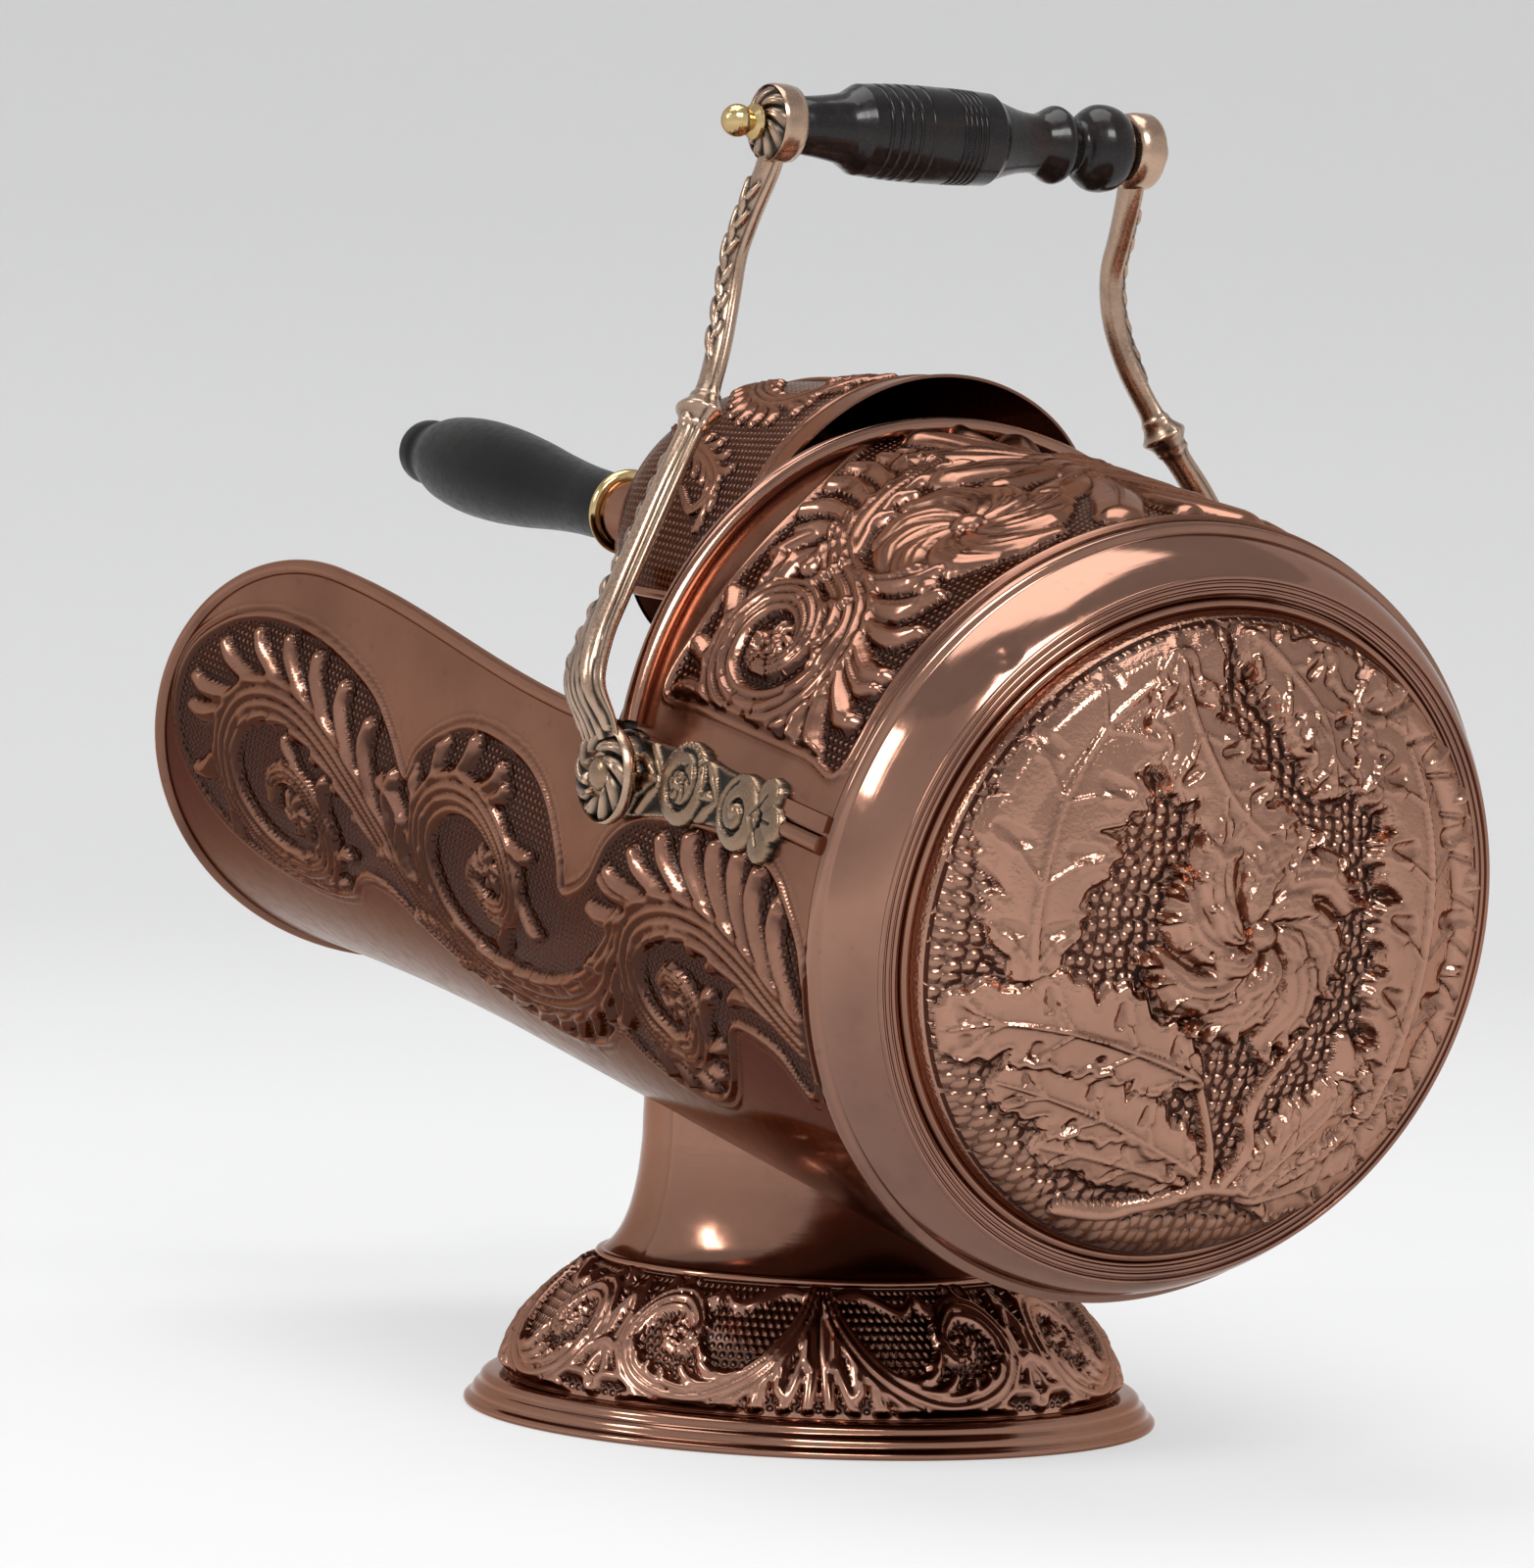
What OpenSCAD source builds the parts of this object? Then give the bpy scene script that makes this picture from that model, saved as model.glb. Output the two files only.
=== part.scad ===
/* [Drum] */
// Outer radius of the round body
drum_r = 150; // [130:1:170]
// Rise of the body's axis towards the spout, in degrees
drum_tilt = 10; // [0:0.5:16]
// Distance of the body's back edge behind the foot's centre
back_y = 229; // [215:1:240]
// Height of the body's axis at its back edge
back_z = 217; // [205:1:235]
// Thickness of the copper sheet
sheet = 1.5; // [1:0.1:2.5]
// Height of the chased ornament above the sheet
relief_h = 3.2; // [1.5:0.1:3.5]

/* [Hood] */
// Length of the hood along its side seam
hood_len = 145; // [140:1:150]
// Forward lean of the hood's front edge, per unit of height
hood_rake = 0.29; // [0.2:0.01:0.35]
// Height of the side seam above the body's axis
seam_v = 33; // [30:1:36]
// Radius of the rolled bead round the hood's front edge
hood_bead_r = 4.5; // [3:0.1:5]

/* [Spout] */
// Length of the body from its back edge to the spout's tip
spout_len = 572; // [540:1:600]
// Distance along the body at which the sides start to flare
flare_start = 340; // [300:5:380]
// Growth in radius from there to the spout's tip
flare = 10; // [0:0.5:15]
// Radius of the rolled wire round the spout's rim
wire_r = 3.5; // [2.5:0.1:4]

/* [Foot] */
// Outer radius of the foot's rim
foot_r = 139.5; // [130:1:150]
// Height of the foot's lower, domed part
foot_dome_h = 60; // [55:1:65]
// Radius of the narrow neck
neck_r = 72; // [66:1:76]

/* [Bail] */
// Distance of the bail's pivot along the body
pivot_s = 143; // [140:1:146]
// Height of the bail's pivot above the body's axis
pivot_v = 19; // [17:1:21]
// Radius of the pivot pins
pin_r = 4; // [3:0.1:5]
// Radial play between a pivot pin and its arm
pin_play = 0.05; // [0.02:0.01:0.1]
// Height of the grip's axis above the pivots
grip_rise = 251; // [245:1:260]
// Distance of the grip's axis in front of the pivots
grip_lead = 17.6; // [10:0.2:25]
// Radius of the tie rod through the grip
rod_r = 4; // [3:0.1:4.5]

/* [Shovel] */
// Rise of the shovel's handle, in degrees
shovel_tilt = 7.5; // [5:0.5:9]
// Radius of the shovel's round back plate
plate_r = 48; // [45:1:55]
// Radius of the blade at its mouth
mouth_r = 85; // [80:1:88]
// Length of the blade
blade_len = 158; // [150:1:160]
// Thickness of the blade
blade_t = 1.6; // [1.2:0.1:2]

/* [Hidden] */

$fn = 96;
copper = [0.72, 0.42, 0.32];
copper_dark = [0.62, 0.34, 0.26];
bronze = [0.62, 0.52, 0.38];
brass = [0.83, 0.68, 0.36];
ebony = [0.08, 0.07, 0.07];

// Place of the pivot and of the grip in the part's own frame
pivot_y = back_y - pivot_s * cos(drum_tilt) + pivot_v * sin(drum_tilt);
pivot_z = back_z + pivot_s * sin(drum_tilt) + pivot_v * cos(drum_tilt);
grip_y = pivot_y - grip_lead;
grip_z = pivot_z + grip_rise;

// Half widths, across the body, of what is stacked on each pivot
wall_x = 145.6;      // flat seat of the pin's inner head
boss_x = 154;       // outer face of the bracket's boss
arm_in_x = 154.3;   // inner face of the arm's lower boss
arm_out_x = 160;    // its outer face
boss_r = 15.5;
eye_in_x = 76.6;      // inner face of the arm's upper eye
eye_out_x = 94;
eye_r = 15.6;
grip_left = -75.4;  // ends of the turned grip
grip_right = 75.4;

// Place of the shovel's back plate in the part's own frame
plate_y = -90;
plate_z = 349;
blade_tilt = 2.3;   // the blade droops a little more than the handle rises

// ---- Curves ---------------------------------------------------------------

function unit(v) = v / norm(v);
function mix(a, b, t) = a + (b - a) * t;
function smooth(t) = let (c = min(max(t, 0), 1)) c * c * (3 - 2 * c);
function bezier(p, t) =
    pow(1 - t, 3) * p[0] + 3 * t * pow(1 - t, 2) * p[1]
    + 3 * t * t * (1 - t) * p[2] + pow(t, 3) * p[3];

// Point at t on the smooth curve through b and c, with neighbours a and d
function through(a, b, c, d, t) =
    0.5 * (2 * b + (c - a) * t + (2 * a - 5 * b + 4 * c - d) * t * t
    + (3 * b - a - 3 * c + d) * pow(t, 3));

// Smooth curve through every point of a list, with steps pieces to a span
function spline(p, steps) = let (n = len(p)) concat(
    [for (i = [0:n - 2], k = [0:steps - 1])
        through(p[max(i - 1, 0)], p[i], p[i + 1], p[min(i + 2, n - 1)], k / steps)],
    [p[n - 1]]);

// Arc of an ellipse about c, from angle a0 to a1
function arc(c, rx, ry, a0, a1, steps) =
    [for (k = [0:steps]) let (a = mix(a0, a1, k / steps)) c + [rx * cos(a), ry * sin(a)]];

// ---- Helpers --------------------------------------------------------------

// The body's frame: x across, y up and square to the axis, z forward along it
module in_drum() {
    translate([0, back_y, back_z]) rotate([90 - drum_tilt, 0, 0]) children();
}

// The bail's frame: axes as the part's, origin midway between the pivots
module in_bail() {
    translate([0, pivot_y, pivot_z]) children();
}

// The shovel's frame: z along the handle, origin at the back plate's centre
module in_shovel() {
    translate([0, plate_y, plate_z]) rotate([90 - shovel_tilt, 0, 0]) children();
}

// Extrudes an outline of (along, up) points across a frame, to both sides
module across(width = 400) {
    rotate([0, -90, 0]) linear_extrude(width, center = true) children();
}

// Turns children about the x axis
module turned_on_x() {
    rotate([0, 90, 0]) rotate_extrude() children();
}

// Sheet wound round an axis: p is a list of (radius, along) on its outside
module wound_sheet(p, t) {
    n = len(p);
    rotate_extrude() polygon(concat(p, [for (i = [n - 1:-1:0]) p[i] - [t, 0]]));
}

// Faces of the closed skin over n rings, each of the same number of points
function skin(n, sides) = let (last = (n - 1) * sides) concat(
    [for (k = [1:sides - 2]) [0, k, k + 1]],
    [for (i = [0:n - 2], k = [0:sides - 1])
        let (a = i * sides + k, b = i * sides + (k + 1) % sides)
        each [[a, a + sides, b], [b, a + sides, b + sides]]],
    [for (k = [1:sides - 2]) [last, last + k + 1, last + k]]);

// Bar of oval section along a path, with its first half width along side
module bar(path, side, half_a, half_b, sides = 10) {
    n = len(path);
    points = [for (i = [0:n - 1])
        let (t = unit(path[min(i + 1, n - 1)] - path[max(i - 1, 0)]),
            u = unit(side[i] - t * (side[i] * t)),
            w = cross(t, u))
        for (k = [0:sides - 1])
            let (a = 360 * k / sides)
            path[i] + u * half_a[i] * cos(a) + w * half_b[i] * sin(a)];
    polyhedron(points = points, faces = skin(n, sides));
}

module pivot_hole(r) {
    in_bail() rotate([0, 90, 0]) cylinder(h = 400, r = r, center = true);
}

// ---- Shape of the body -----------------------------------------------------

// Outer radius of the body at a distance along it
function body_r(s) = drum_r + flare * pow(max(s - flare_start, 0) / (565 - flare_start), 2);

// Height angle of the side edge, which climbs a little towards the spout
function edge_angle(s) = asin(seam_v / drum_r) + 3.8 * smooth((s - 200) / 190);

// Rim of one side as (along, angle): straight side edge, then down round the lip
lip_start = spout_len - 168;
lip = [[lip_start, 16.5], [lip_start + 96, 16], [spout_len + 3, -12], [spout_len, -90]];
rim = concat(
    [for (s = [160:24:lip_start - 10]) [s, edge_angle(s)]],
    [for (k = [0:22]) bezier(lip, k / 22)]);

// ---- Chased ornament ------------------------------------------------------

// Laid out on one side of the body as (along, round from the axis, half width)
function heading(line, i) = let (a = line[max(i - 1, 0)], b = line[min(i + 1, len(line) - 1)])
    unit([b[0] - a[0], b[1] - a[1]]);

// Point of the right side, raised over the sheet
function on_side(along, round, up) = let (r = body_r(along) + up, a = round * 180 / (PI * drum_r))
    [r * cos(a), r * sin(a), along];

// Raised stroke with a rounded back, rooted in the sheet
module stroke(line) {
    section = [[-1, 0], [-0.6, 0.72], [0, 1], [0.6, 0.72], [1, 0]];
    root = sheet / 2;
    points = [for (i = [0:len(line) - 1])
        let (way = heading(line, i), half = line[i][2], rise = min(relief_h, 0.62 * half))
        for (q = section)
            on_side(line[i][0] - way[1] * q[0] * half, line[i][1] + way[0] * q[0] * half, q[1] * (rise + root) - root)];
    polyhedron(points = points, faces = skin(len(line), len(section)));
}

// Leaf fingers that leave a stem between two fractions of it and curl off to one side
module fingers(stem, from, to, count, side, long, wide) {
    curl = [[0, 0, 0.45], [0.3, 0.06, 0.8], [0.6, 0.2, 1], [0.84, 0.42, 0.95], [0.98, 0.68, 0.45]];
    for (k = [0:count - 1]) {
        t = k / (count - 1);
        i = round(mix(from, to, t) * (len(stem) - 1));
        way = heading(stem, i);
        off = side * [-way[1], way[0]];
        stroke([for (q = curl)
            let (at = [stem[i][0], stem[i][1]] + (way * q[0] + off * q[1]) * mix(long[0], long[1], t))
            [at[0], at[1], q[2] * mix(wide[0], wide[1], t)]]);
    }
}

// Flower of petals that all sweep one way round
module flower(centre, r, petals, turn) {
    sweep = [[0.1, 0, 0.2], [0.34, 6, 0.55], [0.6, 19, 0.9], [0.82, 38, 0.95], [0.98, 58, 0.5]];
    for (k = [0:petals - 1])
        stroke([for (q = sweep) let (a = turn + 360 * k / petals - q[1])
            [centre[0] + r * q[0] * cos(a), centre[1] + r * q[0] * sin(a), q[2] * 2.2 * r / petals]]);
}

// Acanthus scrolls along one side of the trough: over, under and over again
module side_scrolls() {
    first = spline([[4, -49, 6], [20, -42, 9], [45, -31, 10], [75, -24, 10], [105, -27, 9.5], [128, -39, 9],
        [138, -58, 8.5], [132, -75, 8], [114, -83, 7], [97, -79, 6], [88, -67, 5], [92, -54, 4]], 2);
    second = spline([[148, -52, 6], [172, -74, 9], [205, -90, 10], [240, -98, 10], [275, -96, 9.5], [300, -81, 9],
        [309, -57, 9], [302, -34, 8.5], [280, -21, 8], [256, -20, 7], [237, -31, 6], [231, -48, 5], [240, -61, 4]], 2);
    third = spline([[320, -85, 6], [340, -60, 9.5], [368, -37, 10], [400, -21, 10], [430, -16, 9.5], [460, -23, 9],
        [479, -43, 9], [481, -67, 8.5], [466, -86, 8], [440, -92, 7], [416, -85, 6], [403, -70, 5], [408, -55, 4]], 2);
    for (stem = [first, second, third]) stroke(stem);
    fingers(first, 0.02, 0.4, 5, 1, [44, 34], [7.4, 6.6]);
    fingers(first, 0.48, 0.84, 4, 1, [40, 24], [6.6, 5.6]);
    fingers(first, 0.1, 0.34, 3, -1, [36, 30], [6, 5.4]);
    fingers(second, 0.08, 0.36, 4, -1, [32, 30], [6, 5.6]);
    fingers(second, 0.44, 0.84, 5, -1, [40, 24], [7, 5.6]);
    fingers(second, 0.08, 0.26, 3, 1, [36, 32], [5.6, 5.4]);
    fingers(third, 0.1, 0.44, 5, 1, [38, 38], [7.2, 6.6]);
    fingers(third, 0.52, 0.84, 4, 1, [38, 24], [6.4, 5.4]);
    fingers(third, 0.14, 0.36, 3, -1, [36, 30], [6, 5.4]);
}

// Scroll, flower, plume and lobes over one half of the hood
module hood_scrolls() {
    stem = spline([[110, 147, 6], [88, 125, 9], [70, 118, 10], [55, 108, 10], [47, 92, 10], [51, 75, 10],
        [66, 64, 9], [88, 60, 8.5], [107, 68, 8], [114, 86, 7], [107, 101, 6], [92, 105, 5], [79, 99, 4]], 2);
    plume = spline([[94, 134, 7], [104, 148, 8], [113, 165, 7], [120, 182, 6]], 2);
    stroke(stem);
    stroke(plume);
    fingers(stem, 0.16, 0.34, 3, -1, [36, 34], [7, 6.6]);
    fingers(stem, 0.42, 0.84, 5, -1, [30, 22], [6, 5.4]);
    fingers(plume, 0, 0.8, 4, -1, [28, 26], [6.4, 5.8]);
    flower([57, 166], 40, 9, 17);
    for (lobe = [[[76, 238, 6], [46, 226, 11], [18, 209, 9]], [[104, 238, 6], [108, 216, 11], [107, 194, 9]],
            [[122, 238, 6], [146, 226, 10], [164, 214, 8]]])
        stroke(spline(lobe, 3));
}

// ---- Drum, hood and spout -------------------------------------------------

// What lies below the side seam and behind the rim
module below_rim() {
    across() polygon(concat(
        [[-1, -200], [-1, seam_v], [158, seam_v]],
        [for (p = rim) [p[0], body_r(p[0]) * sin(p[1])]],
        [[spout_len, -200]]));
}

module trough_sheet() {
    flared = [for (s = [flare_start:20:spout_len + 20]) [body_r(s), s]];
    color(copper) in_drum() {
        difference() {
            intersection() {
                wound_sheet(concat([[drum_r, 0]], flared), sheet);
                below_rim();
            }
            translate([0, pivot_v, pivot_s]) rotate([0, 90, 0]) cylinder(h = 400, r = pin_r, center = true);
        }
        // The leaf tips stop short of the brackets
        difference() {
            for (side = [0, 1]) mirror([side, 0, 0]) side_scrolls();
            translate([-200, 1.5, -5]) cube([400, 60, 172]);
        }
    }
}

// Rolled edge: one wire from the pivot round the lip to the other pivot
module spout_wire() {
    one_side = [for (p = rim) let (r = body_r(p[0]) - sheet / 2)
        [r * cos(p[1]), r * sin(p[1]), p[0]]];
    n = len(one_side);
    path = concat(one_side, [for (i = [n - 2:-1:0]) [-one_side[i][0], one_side[i][1], one_side[i][2]]]);
    outward = [for (p = path) [p[0], p[1], 0]];
    radius = [for (p = path) wire_r];
    color(copper) in_drum() bar(path, outward, radius, radius);
}

// What the hood keeps: above the seam and behind its raked front edge
module under_hood() {
    across() polygon([[0, seam_v], [0, 200],
        [hood_front(200), 200], [hood_front(seam_v), seam_v]]);
}
function hood_front(v) = hood_len + hood_rake * (v - seam_v);

module hood_sheet() {
    color(copper) in_drum() {
        intersection() {
            wound_sheet([[drum_r, 0], [drum_r, 240]], sheet);
            under_hood();
        }
        difference() {
            for (side = [0, 1]) mirror([side, 0, 0]) hood_scrolls();
            translate([-200, -20, -5]) cube([400, 63, 250]);
        }
    }
}

module hood_bead() {
    r = drum_r + 2.5;
    start = 14.5;
    path = [for (k = [0:44]) let (a = mix(start, 180 - start, k / 44))
        [r * cos(a), r * sin(a), hood_front(r * sin(a))]];
    outward = [for (p = path) [p[0], p[1], 0]];
    radius = [for (p = path) hood_bead_r];
    color(copper) in_drum() bar(path, outward, radius, radius);
}

// Strip over the side seam, from the back ring to the hood's front
module seam_strip(sign) {
    color(copper_dark) in_drum() intersection() {
        wound_sheet([[drum_r + sheet, 0.5], [drum_r + sheet, 132]], sheet);
        translate([sign * drum_r, seam_v, 66]) cube([60, 6, 140], center = true);
    }
}
module seam_strip_left() { seam_strip(-1); }
module seam_strip_right() { seam_strip(1); }

// ---- Back -----------------------------------------------------------------

// Measured backwards from the drum's edge, as (radius, depth)
ring_depth = 27;
ring_inner_r = 126.7;
dome_r = 123;
dome_depth = 45;

// Polished ring: a short flange, a step, a shallow round and a flat with three beads
module back_ring() {
    round_out = [[drum_r - 3.5, 5], [drum_r - 5.5, 12], [drum_r - 9.5, 22], [drum_r - 16, ring_depth]];
    outside = concat([[drum_r, 0], [drum_r, 2.5], [drum_r - 0.6, 3.6], [drum_r - 2.6, 4.2]],
        [for (k = [0:12]) bezier(round_out, k / 12)], [[ring_inner_r, ring_depth]]);
    inside = concat([[ring_inner_r, ring_depth - sheet], [drum_r - 17, ring_depth - sheet]],
        [for (k = [10:-1:1]) bezier(round_out, k / 12) - [sheet, 0.8]], [[drum_r - 6, 4], [drum_r - 6, 0]]);
    color(copper) in_drum() mirror([0, 0, 1]) rotate_extrude() {
        polygon(concat(outside, inside));
        for (r = [129, 131.6, 134.2]) translate([r, ring_depth - 0.2]) circle(r = 1.1, $fn = 24);
    }
}

// Domed back plate, lapped inside the ring, with a bead round its edge
module back_dome() {
    color(copper) in_drum() mirror([0, 0, 1]) rotate_extrude() {
        polygon(concat(arc([0, ring_depth], dome_r, dome_depth, 0, 90, 18),
            arc([0, ring_depth], dome_r - sheet, dome_depth - sheet, 90, 0, 18),
            [[dome_r - sheet, ring_depth - 2 * sheet], [ring_inner_r + 6, ring_depth - 2 * sheet],
                [ring_inner_r + 6, ring_depth - sheet], [dome_r, ring_depth - sheet]]));
        translate([dome_r + 1.4, ring_depth - 0.2]) circle(r = 1.9, $fn = 24);
    }
}

// ---- Foot -----------------------------------------------------------------

rim_top = 13.8;

// Stepped rim, flat underneath, with a flange that the dome stands on
module foot_rim() {
    color(copper) rotate_extrude() polygon([
        [foot_r - 4, 0], [foot_r, 0], [foot_r + 0.6, 1.4], [foot_r, 2.8], [foot_r - 2.6, 4],
        [foot_r - 3.4, 7], [foot_r - 5.6, 8.6], [foot_r - 6.6, 12], [foot_r - 10, 13.4], [118, rim_top],
        [118, rim_top - sheet], [foot_r - 10.6, rim_top - 2.4], [foot_r - 8.4, 10.8],
        [foot_r - 7.6, 7.2], [foot_r - 5.6, 5.8], [foot_r - 4.8, 2.8]]);
}

// Domed band between the rim and the ridge
module foot_dome() {
    curve = [[124, rim_top], [122, 30], [108, 46], [88, foot_dome_h]];
    color(copper) wound_sheet([for (k = [0:14]) bezier(curve, k / 14)], sheet);
}

// Turned ridge between the dome and the neck
module foot_ridge() {
    color(copper) rotate_extrude() polygon(concat([[82, foot_dome_h]],
        arc([86.4, foot_dome_h + 2], 2.6, 2, -90, 90, 8), [[82, foot_dome_h + 4]]));
}

// Flared neck, cut to the round of the drum that stands on it
module foot_neck() {
    curve = [[86, foot_dome_h + 4], [77.5, foot_dome_h + 10], [neck_r + 1, 86], [neck_r, 110]];
    color(copper) difference() {
        wound_sheet(concat([for (k = [0:14]) bezier(curve, k / 14)], [[neck_r, 140]]), sheet);
        in_drum() cylinder(h = 500, r = drum_r);
    }
}

// ---- Brackets and pivots --------------------------------------------------

// Side view of a bracket as (along, up): boss, two volutes and a tail
module bracket_outline() {
    translate([pivot_s, pivot_v]) circle(r = boss_r + 2);
    translate([98, 25]) circle(r = 15.5);
    translate([56, 24]) circle(r = 14.5);
    translate([36, 27]) circle(r = 9);
    polygon([[36, 18], [98, 10.5], [138, 3], [138, 35], [98, 39], [36, 36]]);
}

module bracket(sign) {
    color(bronze) difference() {
        union() {
            in_drum() intersection() {
                across() bracket_outline();
                translate([0, 0, 10]) wound_sheet([[drum_r + 4, 0], [drum_r + 4, 170]], 4);
                translate([sign * drum_r, 0, 100]) cube([180, 300, 300], center = true);
            }
            // Raised volutes
            for (v = [[98, 25, 11, 158.5], [56, 24, 10.5, 158], [36, 27, 6, 157]])
                in_drum() intersection() {
                    translate([0, v[1], v[0]]) rotate([0, sign * 90, 0]) cylinder(h = 200, r = v[2]);
                    wound_sheet([[v[3], 0], [v[3], 200]], v[3] - drum_r);
                }
            // Boss that the arm turns against
            in_drum() difference() {
                translate([0, pivot_v, pivot_s]) rotate([0, sign * 90, 0]) cylinder(h = boss_x, r = boss_r);
                cylinder(h = 400, r = drum_r);
            }
        }
        pivot_hole(pin_r);
        // Seat over the seam strip
        in_drum() translate([sign * drum_r, seam_v, 66]) intersection() {
            cube([60, 6, 140], center = true);
            translate([-sign * drum_r, -seam_v, -66])
                wound_sheet([[drum_r + sheet, 0.5], [drum_r + sheet, 132]], sheet);
        }
    }
}
module bracket_left() { bracket(-1); }
module bracket_right() { bracket(1); }

// Riveted pin: flat head inside the wall, domed rosette head outside the arm
module pivot_pin(sign) {
    head_x = arm_out_x + 0.3;
    color(bronze) in_bail() mirror([sign < 0 ? 1 : 0, 0, 0]) turned_on_x() polygon(concat(
        [[0, wall_x - 3], [7.5, wall_x - 3], [7.5, wall_x], [pin_r, wall_x], [pin_r, head_x]],
        arc([0, head_x], 7, 4, 0, 90, 8)));
}
module pivot_pin_left() { pivot_pin(-1); }
module pivot_pin_right() { pivot_pin(1); }

// ---- Bail -----------------------------------------------------------------

// One arm from boss to eye: across, forward (negative), up, half width, half thickness
arm_curve = [
    [157.2, 0, 4, 11, 2.8], [162, -3, 20, 12.5, 4.2], [166, -6, 35, 12.5, 5.5], [160, -9.5, 52, 11, 5.5],
    [150, -13, 69, 9, 5.5], [138, -16, 90, 7.5, 5.5], [124, -20, 115, 7, 5.5], [114, -24.2, 131, 7, 5.5],
    [109.5, -26, 139, 11, 8.5], [105, -28.2, 147, 7, 5.5], [97, -34, 165, 6.5, 5.5], [91.5, -38, 184, 6.5, 5.5],
    [89, -37.5, 202, 6.5, 5.5], [87.5, -30, 218, 6.5, 5.5], [85.5, -22, 234, 7.5, 5.5], [84, -18.2, 247, 9, 5]];

module bail_arm(sign) {
    curve = spline(arm_curve, 3);
    path = [for (p = curve) [p[0], p[1], p[2]]];
    fore = [for (p = curve) [0, 1, 0]];
    color(bronze) in_bail() mirror([sign < 0 ? 1 : 0, 0, 0]) difference() {
        union() {
            bar(path, fore, [for (p = curve) p[3]], [for (p = curve) p[4]], 12);
            turned_on_x() polygon([[0, arm_in_x], [boss_r, arm_in_x], [boss_r, arm_out_x - 1.5],
                [boss_r - 1.5, arm_out_x], [0, arm_out_x]]);
            translate([0, -grip_lead, grip_rise]) turned_on_x() polygon(concat(
                [[0, eye_in_x], [eye_r - 3, eye_in_x], [eye_r - 0.8, eye_in_x + 1.6], [eye_r, eye_in_x + 5]],
                arc([0, eye_out_x - 7], eye_r, 7, 0, 65, 6), [[0, eye_out_x - 0.6]]));
        }
        rotate([0, 90, 0]) translate([0, 0, arm_in_x - 5]) cylinder(h = 40, r = pin_r + pin_play);
        // Room for the bracket's boss inside, and for the pin's head outside
        rotate([0, 90, 0]) translate([0, 0, boss_x - 14]) cylinder(h = 14.3, r = boss_r + 3);
        rotate([0, 90, 0]) translate([0, 0, arm_out_x]) cylinder(h = 20, r = 8.5);
        translate([0, -grip_lead, grip_rise]) rotate([0, 90, 0]) cylinder(h = 300, r = rod_r);
    }
}
module bail_arm_left() { bail_arm(-1); }
module bail_arm_right() { bail_arm(1); }

module on_grip() {
    in_bail() translate([0, -grip_lead, grip_rise]) children();
}

module tie_rod() {
    color(brass) on_grip() translate([-eye_out_x, 0, 0]) rotate([0, 90, 0]) cylinder(h = 2 * eye_out_x + 9, r = rod_r);
}

// Turned grip, as (radius, across): a grooved barrel, a neck, a bead and a ball
module grip() {
    taper = spline([[10.6, grip_right], [11.4, 72], [12.2, 65], [13.8, 56], [16, 51.5]], 3);
    barrel = spline([[17.8, 48.6], [18.9, 30], [18.9, 5], [18.2, -11]], 3);
    shaped = spline([[16.2, -14], [14.2, -20], [12.4, -27], [11.8, -34], [13.4, -38.4],
        [15.6, -43.5], [13.6, -48], [10.4, -51.5], [10.4, -54.5], [14, -57.5], [17.2, -62.5], [17.2, -68.5],
        [15.2, -73], [11, grip_left]], 3);
    grooves = [for (x = [42, 37.5, 33, 28.8, 23, 8.4, 6, 3.6, 1.2, -1.2]) [19, x]];
    color(ebony) on_grip() rotate([0, 90, 0]) difference() {
        rotate_extrude() polygon(concat([[0, grip_right]], taper, barrel, shaped, [[0, grip_left]]));
        cylinder(h = 200, r = rod_r, center = true);
        for (g = grooves) rotate_extrude() translate(g) circle(r = 0.8, $fn = 16);
    }
}

module grip_washer(x0, x1) {
    color(brass) on_grip() rotate([0, 90, 0]) translate([0, 0, x0]) difference() {
        cylinder(h = x1 - x0, r = 9.5);
        cylinder(h = 20, r = rod_r, center = true);
    }
}
module grip_washer_left() { grip_washer(-eye_in_x, grip_left); }
module grip_washer_right() { grip_washer(grip_right, eye_in_x); }

// Ball nut with a small collar, outside the right eye
module ball_nut() {
    ball_x = eye_out_x + 7.5;
    color(brass) on_grip() difference() {
        turned_on_x() polygon(concat([[0, eye_out_x - 0.6], [7, eye_out_x - 0.6], [7, eye_out_x + 0.8]],
            arc([0, ball_x], 6.4, 6.4, -48, 90, 14)));
        rotate([0, 90, 0]) cylinder(h = eye_out_x + 9, r = rod_r);
    }
}

// Low riveted head of the rod, outside the left eye
module rod_head() {
    color(brass) on_grip() mirror([1, 0, 0]) difference() {
        turned_on_x() polygon([[0, eye_out_x - 0.6], [7.5, eye_out_x - 0.6], [6.5, eye_out_x + 0.6], [0, eye_out_x + 1]]);
        rotate([0, 90, 0]) cylinder(h = eye_out_x, r = rod_r);
    }
}

// ---- Shovel ---------------------------------------------------------------

plate_t = 2;
edge_r = 2.2;
handle_end = 282;

module in_blade() {
    in_shovel() rotate([blade_tilt, 0, 0]) mirror([0, 0, 1]) mirror([1, 0, 0]) children();
}

// Outside of the blade as (radius, distance from the plate): a round shoulder, then a flare
blade_outline = spline([[plate_r, 0], [plate_r + 9.5, 7], [plate_r + 17.5, 22], [plate_r + 24, 50],
    [plate_r + 28, 90], [mouth_r - 4, 130], [mouth_r + 0.5, blade_len + 4]], 3);

// Half-round blade, lying hollow side down over the mouth, cut along two folded side edges
module blade_sheet() {
    color(copper) in_blade() intersection() {
        wound_sheet(blade_outline, blade_t);
        across() polygon(concat([[0, -18], [0, 110], [blade_len - 4, 110]],
            spline([[blade_len + 2, 88], [blade_len + 1, 66], [blade_len - 5, 36], [blade_len - 14, 4],
                [blade_len - 20, -11]], 3)));
    }
}

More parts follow.
